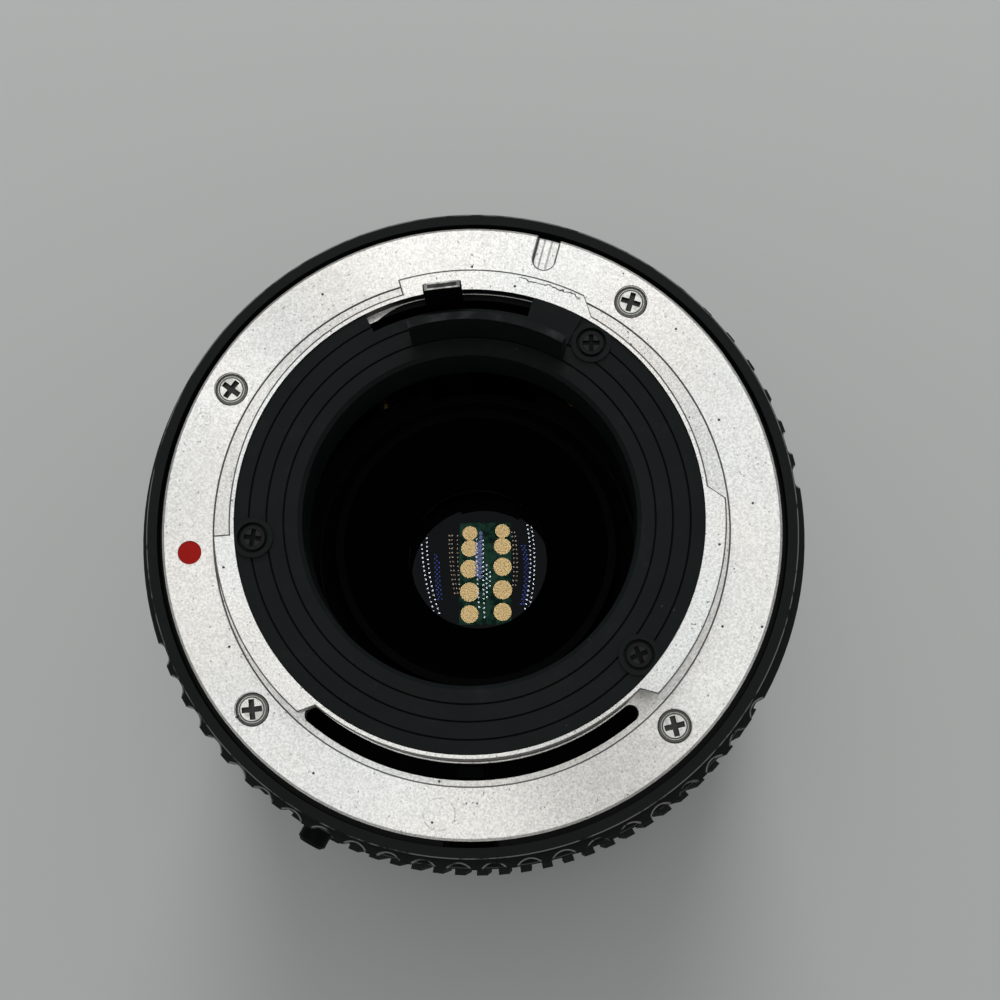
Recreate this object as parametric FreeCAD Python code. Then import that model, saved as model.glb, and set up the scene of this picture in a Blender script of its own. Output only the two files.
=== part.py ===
import FreeCAD, Part
import math
import os

# Zoom lens standing on its front rim, mount upwards, in millimetres
# The optical axis is Z, angles run from +X towards +Y

# Bayonet mount
flange_width = 7.3
flange_thickness = 2.0
flange_edge = 0.25
flange_step_reach = 2.3
flange_step_depth = 0.15
tube_r = 22.5
tube_height = 5.0
tube_rim = 0.46
tube_wall = 1.1
tube_below_seat = 1.7
baffle_ledge_depth = 1.6
tab_reach = 1.5
tab_thickness = 1.6
tab_starts = [63.0, 184.0, 316.6]
tab_ends = [106.6, 229.0, 364.1]
tab_start_ramps = [4.5, 0.0, 2.4]
tab_end_ramps = [0.0, 2.4, 3.6]
tab_root = 0.2
boss_depth = 2.4
coupler_slot_start = 228.5
coupler_slot_end = 312.0
coupler_slot_width = 1.6
lock_notch_angle = 75.05
lock_notch_width = 2.2
lock_notch_reach = 2.3
lock_notch_depth = 1.0
mount_screw_inset = 2.7
mount_screw_angles = [54.9, 149.9, 220.25, 315.1]
mount_screw_turns = [72.0, 54.0, 6.0, 14.0]
mount_screw_head_r = 1.3
mount_screw_rim_r = 1.6
mount_screw_shank_r = 0.8
mount_screw_length = 6.0
mount_screw_setback = 0.1
mount_screw_sink = 0.4
mount_screw_cone = 0.7
mount_screw_gap = 0.07
mount_cross_length = 1.95
mount_cross_width = 0.54
mount_cross_depth = 0.6
dot_r = 1.15
dot_inset = 2.65
dot_angle = 185.3
dot_depth = 0.4

# Rear baffle
baffle_width = 6.8
baffle_lip = 0.4
baffle_skirt_wall = 0.6
baffle_skirt_depth = 5.6
baffle_groove_reaches = [1.7, 3.3, 4.95]
baffle_groove = 0.2
baffle_setback = 0.2
baffle_edge_gap = 0.04
lever_slot_start = 74.0
lever_slot_end = 117.0
guard_reach = 1.7
guard_wall = 0.7
guard_start = 60.0
guard_end = 108.0
guard_height = 6.3
guard_foot = 0.5
plateau_start = 60.9
plateau_height = 0.3
baffle_screw_inset = 2.2
baffle_screw_angles = [55.4, 185.3, 320.5]
baffle_screw_turns = [0.0, 81.5, 22.0]
baffle_screw_head_r = 1.15
baffle_screw_shank_r = 0.6
baffle_screw_length = 3.6
baffle_screw_head = 0.55
baffle_screw_sink = 0.4
baffle_cross_length = 1.6
baffle_cross_width = 0.44
baffle_cross_depth = 0.4
baffle_pad_r = 1.9
baffle_pad_height = 0.25

# Travels
full_turn = 360.0
zoom_turn = 65.0
front_travel = 11.5
rear_travel = 8.0
focus_travel = 4.0
aperture_turn = 24.0
lever_turn = 16.0
button_travel = 0.8

# Clearances
slide_gap = 0.1
turn_gap = 0.2
loose_gap = 0.3
pin_gap = 0.05
seat_gap = 0.02
over = 1.0
ring_bevel = 0.3
fine_bevel = 0.2

# Radii from the rear cell outwards
rear_cell_inset = 3.1
rear_land_inset = 2.6
guide_wall = 1.4
cam_wall = 1.4
front_tube_space = 1.1
front_tube_wall = 2.0
front_tube_tail = 2.0
front_tube_setback = 0.6
front_stop = 0.5
main_barrel_wall = 1.8
guide_flange_thickness = 1.2
web_thickness = 1.5
bearing_reach = 2.4
zoom_ring_wall = 4.6
focus_ring_wall = 5.7
index_band_height = 2.2
bearing_setback = 0.4
barrel_ring_height = 1.0
collar_height = 1.6

# Lengths along the axis, from the front rim to the flange face
focus_ring_length = 17.0
focus_front_band = 2.0
focus_scale_band = 5.5
collar_length = 1.2
zoom_ring_length = 28.7
zoom_front_band = 4.5
zoom_rear_band = 5.7
index_band_length = 3.0
aperture_ring_length = 8.7
aperture_setback = 0.7
barrel_nose_step = 0.7

# Filter thread and front group
filter_rim_wall = 2.7
filter_thread_length = 4.5
front_rim_reach = 2.3
front_rim_length = 8.0
front_skirt_length = 9.0
front_glass_insets = [4.9, 6.4, 7.9]
front_glass_edges = [2.0, 2.1, 2.1]
front_glass_front_bulges = [1.6, 1.0, -1.0]
front_glass_rear_bulges = [-1.4, -0.6, -0.3]
front_glass_setback = 7.6
front_glass_pitch = 2.75
front_cell_lip = 1.4
front_mouth_slope = 1.3
filter_thread_step = 0.4
trim_seat_depth = 1.15
trim_edge = 1.0
front_trim_reach = 1.2
focus_key_r = 0.9
focus_key_reach = 1.1
focus_key_root = 1.5
focus_key_setback = 0.5
focus_bevel = 0.6
focus_key_angles = [90.0, 210.0, 330.0]

# Rubber grips
focus_grip_height = 1.2
retaining_step = 0.7
zoom_grip_height = 0.7
grip_depth = 0.65
grip_wall = 1.0
rib_share = 0.48
focus_ribs = 84
zoom_ribs = 92

# Aperture ring
aperture_band_height = 1.7
aperture_grip_height = 1.0
aperture_grip_length = 4.3
aperture_band_length = 3.5
scallop_depth = 0.6
grip_root = 0.5
scallop_angle = 4.2
scallop_pitch = 6.1
right_land_end = 7.66
right_group_end = 141.2
left_land_end = 199.4
left_group_end = 330.1
aperture_mouth_gap = 0.6
detent_angle = 20.0
detent_step = 8.0
detent_count = 7
detent_margin = 4.0
detent_half_width = 0.9
detent_pit_r = 0.7
detent_pit_depth = 0.25
detent_height = 2.2
ball_r = 0.8
detent_track = 0.3
ball_spring_wire = 0.2
ball_spring_turns = 4
click_floor = 0.5
coupler_angle = 270.0
coupler_half_angle = 4.0
coupler_thickness = 0.9
coupler_lug_wall = 1.0
coupler_lug_setback = 0.6
coupler_lug_inset = 1.0
coupler_reach = 1.3
coupler_swing_margin = 2.0
coupler_screw_setback = 0.7
coupler_screw_spread = 2.4
coupler_screw_head_r = 0.55
coupler_screw_head = 0.35
coupler_screw_length = 2.4
coupler_screw_reach = 1.5
coupler_screw_r = 0.4

# Macro button on the zoom ring
button_angle = 240.8
button_r = 1.5
button_setback = 2.6
button_height = 1.9
button_flange_r = 2.1
button_flange_thickness = 0.6
button_cap_thickness = 0.4
button_spring_wire = 0.2
button_spring_turns = 3
button_spring_inset = 0.5
button_bevel = 0.35

# Zoom mechanism
pin_r = 1.2
front_pin_angles = [0.0, 120.0, 240.0]
rear_pin_angles = [60.0, 180.0, 300.0]
front_pin_reach = 11.0
rear_pin_depth = 25.0
zoom_key_angle = 30.0
zoom_key_r = 1.3
zoom_key_head_r = 1.88
zoom_key_reach = 2.2
zoom_key_setback = 2.2
window_margin = 4.0
zoom_bevel = 0.4
guide_screw_r = 0.7
guide_screw_head_r = 0.95
guide_screw_head = 0.8
guide_screw_length = 3.2
guide_screw_setback = 0.7
guide_screw_angles = [20.0, 140.0, 200.0]

# Rear group and iris
iris_depth = 38.0
blade_float = 0.15
blade_clearance = 0.13
iris_plate = 1.0
iris_lip = 0.4
iris_wall = 1.4
blade_count = 6
blade_thickness = 0.14
blade_pitch = 0.22
blade_pivot_inset = 5.7
blade_inner_share = 0.648
blade_tail_reach = 1.2
blade_ear_reach = 1.0
blade_pin_r = 0.4
blade_drive_angle = 40.0
blade_pin_reach = 0.1
blade_leaf_start = 6.0
blade_leaf_end = 112.0
blade_tail_start = 52.0
blade_ear_half = 45.0
blade_turn = 24.0
drive_ring_thickness = 0.8
rear_cell_wall = 5.8
rear_glass_edges = [2.2, 2.0, 2.2, 1.4]
rear_glass_front_bulges = [-0.3, -0.7, -0.5, -0.5]
rear_glass_rear_bulges = [0.6, -0.4, 0.6, 1.0]
glass_bevel = 0.3
rear_spacer_length = 0.8
rear_spacer_wall = 0.4
rear_cell_tail = 3.9
rear_glass_depth = 22.0
hood_step = 3.5
hood_rim_inset = 3.2
hood_length = 8.8
hood_wall = 0.8
hood_thread_wall = 2.8
hood_foot = 0.35
hood_lift = 0.2
hood_collar = 1.0
hood_collar_step = 0.4
cell_lip = 0.4
cell_front_land = 1.5

# Stop-down lever
lever_angle = 96.5
lever_tab_width = 3.6
lever_tab_thickness = 0.65
lever_tab_corner = 0.45
lever_tab_height = 11.0
lever_ring_reach = 0.5
lever_ring_thickness = 1.0
rod_width = 2.4
rod_thickness = 0.7
rod_setback = 0.4
rod_below_ring = 1.0
prong_width = 1.3
lever_collar_wall = 0.6
relief_margin = 9.5

# Places that follow from the sizes above
flange_r = tube_r + flange_width
flange_step_r = tube_r + flange_step_reach
tab_r = tube_r + tab_reach
tube_inner_r = tube_r - tube_wall
lock_notch_r = flange_r - lock_notch_reach
mount_screw_r = flange_r - mount_screw_inset
dot_place_r = flange_r - dot_inset
baffle_hole_r = tube_r - baffle_width
baffle_groove_rs = [baffle_hole_r + reach for reach in baffle_groove_reaches]
guard_r = baffle_hole_r + guard_reach
baffle_screw_r = tube_r - baffle_screw_inset
lever_tab_r = tube_inner_r - loose_gap - lever_tab_thickness
lever_ring_r = tube_inner_r + lever_ring_reach
bearing_inner_r = tube_r + bearing_reach
rear_land_r = tube_r - rear_land_inset
rear_cell_r = rear_land_r - rear_cell_inset
rear_glass_r = rear_cell_r - rear_cell_wall
hood_hole_r = rear_glass_r - hood_step
hood_rim_r = rear_cell_r - hood_rim_inset
blade_pivot_r = rear_land_r - blade_pivot_inset
blade_inner_r = blade_pivot_r * blade_inner_share
blade_tail_r = blade_pivot_r - blade_tail_reach
blade_ear_r = blade_pivot_r + blade_ear_reach
iris_hole_r = blade_inner_r - iris_lip
guide_inner_r = rear_land_r + slide_gap
guide_outer_r = guide_inner_r + guide_wall
cam_inner_r = guide_outer_r + slide_gap
cam_outer_r = cam_inner_r + cam_wall
front_tube_inner_r = cam_outer_r + front_tube_space
front_tube_outer_r = front_tube_inner_r + front_tube_wall
front_rim_r = front_tube_outer_r + front_rim_reach
filter_thread_r = front_rim_r - filter_rim_wall
front_skirt_r = front_tube_inner_r - slide_gap
front_glass_rs = [front_skirt_r - inset for inset in front_glass_insets]
front_trim_hole_r = front_glass_rs[0] - front_trim_reach
barrel_inner_r = front_tube_outer_r + slide_gap
barrel_outer_r = barrel_inner_r + main_barrel_wall
zoom_inner_r = barrel_outer_r + slide_gap
zoom_band_r = zoom_inner_r + zoom_ring_wall
zoom_grip_r = zoom_band_r + zoom_grip_height
barrel_ring_r = zoom_inner_r + barrel_ring_height
button_tip_r = zoom_band_r + button_height
focus_inner_r = front_tube_outer_r + slide_gap
scale_band_r = focus_inner_r + focus_ring_wall
focus_grip_r = scale_band_r + focus_grip_height
collar_r = front_tube_outer_r + collar_height
bearing_r = flange_r - bearing_setback
index_band_r = bearing_r + index_band_height
aperture_band_r = flange_r + aperture_band_height
aperture_grip_r = aperture_band_r + aperture_grip_height
focus_recess_r = front_rim_r + loose_gap
focus_front_z = focus_travel
focus_rear_z = focus_front_z + focus_ring_length
collar_z = focus_rear_z + loose_gap
collar_rear_z = collar_z + collar_length
zoom_front_z = collar_rear_z + front_travel + front_stop
front_pin_height = zoom_front_z + front_pin_reach
zoom_rear_z = zoom_front_z + zoom_ring_length
index_front_z = zoom_rear_z + turn_gap
index_rear_z = index_front_z + index_band_length
aperture_front_z = index_rear_z + turn_gap
aperture_rear_z = aperture_front_z + aperture_ring_length
flange_z = aperture_rear_z + aperture_setback
rear_pin_height = flange_z - rear_pin_depth
iris_front_z = flange_z - iris_depth
seat_z = flange_z - flange_thickness
tube_top_z = flange_z + tube_height
ledge_r = tube_r - tube_rim
baffle_z = tube_top_z - baffle_setback
ledge_z = tube_top_z - baffle_ledge_depth
tube_bottom_z = seat_z - tube_below_seat
lever_ring_z = tube_bottom_z - loose_gap - lever_ring_thickness
guide_flange_z = lever_ring_z - loose_gap
guide_seat_z = guide_flange_z - guide_flange_thickness
web_z = guide_seat_z - web_thickness
cam_rear_z = web_z - loose_gap
cam_ring_length = 1.0
cam_front_z = zoom_front_z + loose_gap + cam_ring_length + turn_gap
slot_inner_r = tube_r + slide_gap
slot_middle_r = slot_inner_r + coupler_slot_width / 2
front_tube_z = front_rim_length + focus_travel + front_tube_setback
front_tube_rear_z = front_pin_height + front_tube_tail
front_skirt_z = front_rim_length + front_skirt_length
retaining_length = 1.4
focus_step_z = front_tube_z + retaining_length + loose_gap
barrel_ring_length = 1.4
zoom_step_z = zoom_front_z + barrel_ring_length + turn_gap
key_z = zoom_rear_z - zoom_key_setback
button_z = zoom_rear_z - button_setback
coupler_z = tube_bottom_z - loose_gap
blade_zone_z = iris_front_z + iris_plate + blade_float
drive_ring_z = blade_zone_z + blade_count * blade_pitch + blade_clearance
cell_front_z = drive_ring_z + drive_ring_thickness + loose_gap
rear_glass_z = flange_z - rear_glass_depth
last_glass_z = rear_glass_z - rear_glass_rear_bulges[3] - rear_glass_edges[3]
hood_z = rear_glass_z - rear_glass_rear_bulges[3] + pin_gap
cell_rear_z = hood_z + rear_cell_tail
rod_inner_r = guide_inner_r - rod_setback - rod_thickness
relief_r = rod_inner_r - loose_gap
relief_start = lever_angle - lever_turn - relief_margin
relief_end = lever_angle + relief_margin
drive_ring_r = rear_land_r - iris_wall - slide_gap
focus_grip_z = focus_front_z + focus_front_band
focus_grip_length = focus_ring_length - focus_front_band - focus_scale_band
zoom_grip_z = zoom_front_z + zoom_front_band
zoom_grip_length = zoom_ring_length - zoom_front_band - zoom_rear_band

axis_z = FreeCAD.Vector(0, 0, 1)
origin = FreeCAD.Vector(0, 0, 0)


# Basic shapes around the axis
def point(r, angle, z):
    a = math.radians(angle)
    return FreeCAD.Vector(r * math.cos(a), r * math.sin(a), z)


def disc(r, z0, z1):
    return Part.makeCylinder(r, z1 - z0, FreeCAD.Vector(0, 0, z0), axis_z)


def tube(r_in, r_out, z0, z1):
    return disc(r_out, z0, z1).cut(disc(r_in, z0 - over, z1 + over))


def turned(profile):
    corners = [FreeCAD.Vector(r, 0, z) for r, z in profile]
    outline = Part.makePolygon(corners + [corners[0]])
    return Part.Face(outline).revolve(origin, axis_z, full_turn)


def arc_edge(r, start, end, z):
    middle = (start + end) / 2
    return Part.Arc(point(r, start, z), point(r, middle, z), point(r, end, z)).toShape()


def line_edge(a, b):
    return Part.LineSegment(a, b).toShape()


def sector(r_in, r_out, z0, z1, start, end):
    edges = [
        arc_edge(r_out, start, end, z0),
        line_edge(point(r_out, end, z0), point(r_in, end, z0)),
        arc_edge(r_in, end, start, z0),
        line_edge(point(r_in, start, z0), point(r_out, start, z0)),
    ]
    return Part.Face(Part.Wire(edges)).extrude(axis_z * (z1 - z0))


def upright(r, angle, radius, z0, z1):
    return Part.makeCylinder(radius, z1 - z0, point(r, angle, z0), axis_z)


def radial(angle, z, radius, r0, r1):
    return Part.makeCylinder(radius, r1 - r0, point(r0, angle, z), point(1, angle, 0))


def radial_turned(angle, z, profile):
    body = turned(profile)
    body.rotate(origin, FreeCAD.Vector(0, 1, 0), 90)
    body.rotate(origin, axis_z, angle)
    body.translate(FreeCAD.Vector(0, 0, z))
    return body


def bar(r_in, r_out, width, z0, z1, angle):
    block = Part.makeBox(r_out - r_in, width, z1 - z0, FreeCAD.Vector(r_in, -width / 2, z0))
    block.rotate(origin, axis_z, angle)
    return block


def rounded_bar(r_in, r_out, width, z0, z1, angle):
    half = width / 2
    inset = half - lever_tab_corner
    shoulder_z = z1 - lever_tab_corner
    block = Part.makeBox(r_out - r_in, width, shoulder_z - z0, FreeCAD.Vector(r_in, -half, z0))
    crown = Part.makeBox(r_out - r_in, inset * 2, z1 - z0, FreeCAD.Vector(r_in, -inset, z0))
    parts = [block, crown]
    for side in [-inset, inset]:
        centre = FreeCAD.Vector(r_in, side, shoulder_z)
        parts.append(Part.makeCylinder(lever_tab_corner, r_out - r_in, centre, FreeCAD.Vector(1, 0, 0)))
    whole = fused(parts)
    whole.rotate(origin, axis_z, angle)
    return whole


def fused(shapes):
    whole = shapes[0]
    for shape in shapes[1:]:
        whole = whole.fuse(shape)
    return whole.removeSplitter()


def cut_all(body, tools):
    return body.cut(Part.makeCompound(tools))


# Cross recess in a screw head, four arms that meet in the middle
def cross(centre, arm_length, arm_width, depth, turn):
    arms = []
    for quarter in [0, 90]:
        corner = FreeCAD.Vector(-arm_length / 2, -arm_width / 2, -depth)
        arm = Part.makeBox(arm_length, arm_width, depth * 2, corner)
        arm.rotate(origin, axis_z, turn + quarter)
        arm.translate(centre)
        arms.append(arm)
    return arms[0].fuse(arms[1])


def small_screw(r, angle, z_top, head_r, head_height, shank_r, length):
    head = upright(r, angle, head_r, z_top - head_height, z_top)
    shank = upright(r, angle, shank_r, z_top - length, z_top - head_height)
    return head.fuse(shank).removeSplitter()


# Glass element with flat edge and round faces, bulges are positive outwards
def dished(body, r, z, bulge, side):
    edge_r = r if bulge > 0 else r - glass_bevel
    ball_r = (edge_r * edge_r + bulge * bulge) / (2 * abs(bulge))
    reach = bulge - ball_r if bulge > 0 else bulge + ball_r
    ball = Part.makeSphere(ball_r, FreeCAD.Vector(0, 0, z + side * reach), FreeCAD.Vector(0, 1, 0))
    return body.common(ball) if bulge > 0 else body.cut(ball)


def glass(r, z0, z1, front_bulge, rear_bulge):
    body = disc(r, z0 - max(front_bulge, 0), z1 + max(rear_bulge, 0))
    body = dished(body, r, z0, front_bulge, -1)
    return dished(body, r, z1, rear_bulge, 1)


# Rubber grip, square ribs all round
def ribbed_grip(r_out, r_seat, z0, length, ribs):
    pitch = full_turn / ribs
    rib = pitch * rib_share
    edges = []
    for i in range(ribs):
        start = i * pitch
        tip_start = point(r_out, start, z0)
        tip_end = point(r_out, start + rib, z0)
        root_start = point(r_out - grip_depth, start + rib, z0)
        root_end = point(r_out - grip_depth, start + pitch, z0)
        edges.append(line_edge(tip_start, tip_end))
        edges.append(line_edge(tip_end, root_start))
        edges.append(line_edge(root_start, root_end))
        edges.append(line_edge(root_end, point(r_out, start + pitch, z0)))
    outline = Part.Face(Part.Wire(edges)).extrude(axis_z * length)
    return outline.cut(disc(r_seat, z0 - over, z0 + length + over))


# Close coil spring along a radial line
def coil(angle, z, coil_r, wire, turns, r0, r1):
    pitch = (r1 - r0 - wire) / turns
    helix = Part.makeHelix(pitch, r1 - r0 - wire, coil_r)
    start = FreeCAD.Vector(coil_r, 0, 0)
    ring = Part.Wire(Part.makeCircle(wire / 2, start, FreeCAD.Vector(0, 1, 0)))
    body = Part.Wire(helix).makePipeShell([ring], True, True)
    body.rotate(origin, FreeCAD.Vector(0, 1, 0), 90)
    body.translate(FreeCAD.Vector(r0 + wire / 2, 0, 0))
    body.rotate(origin, axis_z, angle)
    body.translate(FreeCAD.Vector(0, 0, z))
    return body


# Bayonet mount, flange, tube and tabs in one turned piece
def bayonet_tab(start, end, start_ramp, end_ramp):
    z0 = tube_top_z - tab_thickness
    root_r = tube_r - tab_root
    edges = [
        line_edge(point(root_r, start - start_ramp, z0), point(tab_r, start, z0)),
        arc_edge(tab_r, start, end, z0),
        line_edge(point(tab_r, end, z0), point(root_r, end + end_ramp, z0)),
        arc_edge(root_r, end + end_ramp, start - start_ramp, z0),
    ]
    return Part.Face(Part.Wire(edges)).extrude(axis_z * tab_thickness)


def bayonet_mount():
    step_z = flange_z - flange_step_depth
    body = turned([
        (ledge_r, tube_top_z),
        (tube_r, tube_top_z),
        (tube_r, step_z),
        (flange_step_r, step_z),
        (flange_step_r, flange_z),
        (flange_r - flange_edge, flange_z),
        (flange_r, flange_z - flange_edge),
        (flange_r, seat_z),
        (tube_r, seat_z),
        (tube_r, tube_bottom_z),
        (tube_inner_r, tube_bottom_z),
        (tube_inner_r, ledge_z),
        (ledge_r, ledge_z),
    ])
    pieces = [body]
    for start, end, ramp_in, ramp_out in zip(tab_starts, tab_ends, tab_start_ramps, tab_end_ramps):
        pieces.append(bayonet_tab(start, end, ramp_in, ramp_out))
    for angle in baffle_screw_angles:
        boss = upright(baffle_screw_r, angle, baffle_pad_r, ledge_z - boss_depth, ledge_z)
        pieces.append(boss.common(disc(tube_inner_r + slide_gap, ledge_z - boss_depth, ledge_z)))
    body = fused(pieces)
    tools = mount_screw_holes() + coupler_slot() + lock_notch()
    tools.append(upright(dot_place_r, dot_angle, dot_r, flange_z - dot_depth, flange_z + over))
    for angle in baffle_screw_angles:
        hole_r = baffle_screw_shank_r + seat_gap
        tools.append(upright(baffle_screw_r, angle, hole_r, ledge_z - boss_depth - over, ledge_z + over))
    return cut_all(body, tools)


def mount_screw_holes():
    holes = []
    for angle in mount_screw_angles:
        place = point(mount_screw_r, angle, 0)
        rim_r = mount_screw_rim_r + mount_screw_gap
        hole_r = mount_screw_shank_r + seat_gap * 2
        floor_z = flange_z - mount_screw_sink
        hole = turned([
            (0, flange_z + over),
            (rim_r, flange_z + over),
            (rim_r, floor_z),
            (mount_screw_rim_r + seat_gap, floor_z),
            (hole_r, floor_z - mount_screw_cone - seat_gap),
            (hole_r, seat_z - over),
            (0, seat_z - over),
        ])
        hole.translate(place)
        holes.append(hole)
    return holes


def coupler_slot():
    half = coupler_slot_width / 2
    inset = math.degrees(half / slot_middle_r)
    start = coupler_slot_start + inset
    end = coupler_slot_end - inset
    z0 = seat_z - over
    z1 = flange_z + over
    outer_r = slot_inner_r + coupler_slot_width
    middle = sector(slot_inner_r, outer_r, z0, z1, start, end)
    first = upright(slot_middle_r, start, half, z0, z1)
    last = upright(slot_middle_r, end, half, z0, z1)
    return [middle, first, last]


def lock_notch():
    z0 = flange_z - lock_notch_depth
    z1 = flange_z + over
    channel = bar(lock_notch_r, flange_r + over, lock_notch_width, z0, z1, lock_notch_angle)
    tip = upright(lock_notch_r, lock_notch_angle, lock_notch_width / 2, z0, z1)
    return [channel, tip]


# Countersunk mount screws with domed shoulders and cross recess
def mount_screws():
    screws = []
    for angle, turn in zip(mount_screw_angles, mount_screw_turns):
        top_z = flange_z - mount_screw_setback
        rim_z = flange_z - mount_screw_sink + seat_gap
        screw = turned([
            (0, top_z),
            (mount_screw_head_r, top_z),
            (mount_screw_rim_r, rim_z),
            (mount_screw_shank_r, rim_z - mount_screw_cone),
            (mount_screw_shank_r, flange_z - mount_screw_length),
            (0, flange_z - mount_screw_length),
        ])
        top = FreeCAD.Vector(0, 0, top_z)
        recess = cross(top, mount_cross_length, mount_cross_width, mount_cross_depth, turn)
        screw = screw.cut(recess)
        screw.translate(point(mount_screw_r, angle, 0))
        screws.append(screw)
    return Part.makeCompound(screws)


def alignment_dot():
    radius = dot_r - seat_gap
    return upright(dot_place_r, dot_angle, radius, flange_z - dot_depth, flange_z - pin_gap)


# Rear baffle with grooves, lever slot, guard wall and screw pads
def rear_baffle():
    outer_r = ledge_r - baffle_edge_gap
    bottom_z = ledge_z + seat_gap
    skirt_r = baffle_hole_r + baffle_skirt_wall
    profile = [(outer_r, baffle_z), (outer_r, bottom_z), (skirt_r, bottom_z)]
    profile.append((skirt_r, bottom_z - baffle_skirt_depth))
    profile.append((baffle_hole_r, bottom_z - baffle_skirt_depth))
    profile.append((baffle_hole_r, baffle_z - baffle_lip))
    profile.append((baffle_hole_r + baffle_lip, baffle_z))
    for r in baffle_groove_rs:
        profile.append((r - baffle_groove / 2, baffle_z))
        profile.append((r, baffle_z - baffle_groove))
        profile.append((r + baffle_groove / 2, baffle_z))
    pieces = [turned(profile)]
    guard_z = baffle_z + guard_height
    guard_outer_r = guard_r + guard_wall
    foot_z = baffle_z - guard_foot
    pieces.append(sector(guard_r, guard_outer_r, foot_z, guard_z, guard_start, guard_end))
    plateau_z = baffle_z + plateau_height
    root_r = guard_outer_r - slide_gap
    pieces.append(sector(root_r, outer_r, foot_z, plateau_z, plateau_start, lever_slot_start))
    pad_z = baffle_z + baffle_pad_height
    for angle in baffle_screw_angles:
        pad = upright(baffle_screw_r, angle, baffle_pad_r, foot_z, pad_z)
        pieces.append(pad.common(disc(outer_r, baffle_z - over, pad_z)))
    body = fused(pieces)
    slot_r = lever_tab_r - loose_gap
    tools = [sector(slot_r, tube_r + over, bottom_z - over, pad_z + over, lever_slot_start, lever_slot_end)]
    head_z = baffle_z - baffle_screw_sink
    for angle in baffle_screw_angles:
        head_hole_r = baffle_screw_head_r + loose_gap
        shank_hole_r = baffle_screw_shank_r + pin_gap
        tools.append(upright(baffle_screw_r, angle, head_hole_r, head_z, pad_z + over))
        tools.append(upright(baffle_screw_r, angle, shank_hole_r, bottom_z - over, pad_z))
    return cut_all(body, tools)


def baffle_screws():
    screws = []
    head_z = baffle_z - baffle_screw_sink
    top_z = head_z + baffle_screw_head
    for angle, turn in zip(baffle_screw_angles, baffle_screw_turns):
        head_r = baffle_screw_head_r
        shank_r = baffle_screw_shank_r
        length = baffle_screw_length
        screw = small_screw(baffle_screw_r, angle, top_z, head_r, baffle_screw_head, shank_r, length)
        centre = point(baffle_screw_r, angle, top_z)
        recess = cross(centre, baffle_cross_length, baffle_cross_width, baffle_cross_depth, turn)
        screws.append(screw.cut(recess))
    return Part.makeCompound(screws)


# Stop-down lever, tab above the baffle and a long rod down to the iris
def stop_down_lever():
    z0 = lever_ring_z
    z1 = lever_ring_z + lever_ring_thickness
    ring = tube(guide_inner_r + loose_gap, lever_ring_r, z0, z1)
    half = math.degrees((lever_tab_width / 2) / guide_inner_r)
    ear = sector(rod_inner_r, guide_inner_r + over, z0, z1, lever_angle - half, lever_angle + half)
    tab_outer_r = lever_tab_r + lever_tab_thickness
    tab_z = flange_z + lever_tab_height
    tab = rounded_bar(lever_tab_r, tab_outer_r, lever_tab_width, z0, tab_z, lever_angle)
    rod_outer_r = rod_inner_r + rod_thickness
    rod_z = drive_ring_z - rod_below_ring
    rod = bar(rod_inner_r, rod_outer_r, rod_width, rod_z, z1, lever_angle)
    return fused([ring, ear, tab, rod])


# Aperture ring, smooth rear band and scalloped grip between two plain lands
def scalloped_outline(z):
    edges = []
    groups = [(right_land_end, right_group_end), (left_land_end, left_group_end)]
    land_start = left_group_end - full_turn
    for group_start, group_end in groups:
        edges.append(arc_edge(aperture_grip_r, land_start, group_start, z))
        spread = group_end - group_start - scallop_angle
        steps = round(spread / scallop_pitch)
        for i in range(steps + 1):
            start = group_start + spread * i / steps
            end = start + scallop_angle
            middle = point(aperture_grip_r - scallop_depth, (start + end) / 2, z)
            first = point(aperture_grip_r, start, z)
            last = point(aperture_grip_r, end, z)
            edges.append(Part.Arc(first, middle, last).toShape())
            if i < steps:
                edges.append(arc_edge(aperture_grip_r, end, start + spread / steps, z))
        land_start = group_end
    return Part.Wire(edges)


def aperture_ring():
    bore_r = bearing_r + slide_gap
    mouth_r = flange_r + aperture_mouth_gap
    step_z = seat_z - loose_gap
    band_z = aperture_rear_z - aperture_band_length
    body = turned([
        (bore_r, aperture_front_z),
        (aperture_band_r, aperture_front_z),
        (aperture_band_r, aperture_rear_z - fine_bevel),
        (aperture_band_r - fine_bevel, aperture_rear_z),
        (mouth_r, aperture_rear_z),
        (mouth_r, step_z),
        (bore_r, step_z),
    ])
    grip_z = band_z - aperture_grip_length
    grip = Part.Face(scalloped_outline(grip_z)).extrude(axis_z * aperture_grip_length)
    grip = grip.cut(disc(aperture_band_r - grip_root, grip_z - over, band_z + over))
    grip = grip.common(grip_bevel(grip_z, band_z))
    body = body.fuse(grip)
    tools = [coupler_pocket(bore_r, step_z)] + detent_pits(bore_r)
    for r, angle in coupler_screw_places():
        low = coupler_z - coupler_screw_reach
        tools.append(upright(r, angle, coupler_screw_r + seat_gap, low, coupler_z + over))
    return cut_all(body, tools).removeSplitter()


def grip_bevel(grip_z, band_z):
    return turned([
        (0, grip_z),
        (aperture_grip_r - fine_bevel, grip_z),
        (aperture_grip_r, grip_z + fine_bevel),
        (aperture_grip_r, band_z - fine_bevel),
        (aperture_grip_r - fine_bevel, band_z),
        (0, band_z),
    ])


def coupler_pocket(bore_r, step_z):
    half = coupler_half_angle + coupler_lug_inset
    start = coupler_angle - half
    end = coupler_angle + half
    outer_r = bore_r + coupler_reach + slide_gap
    return sector(bore_r - over, outer_r, coupler_z, step_z + slide_gap, start, end)


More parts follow.
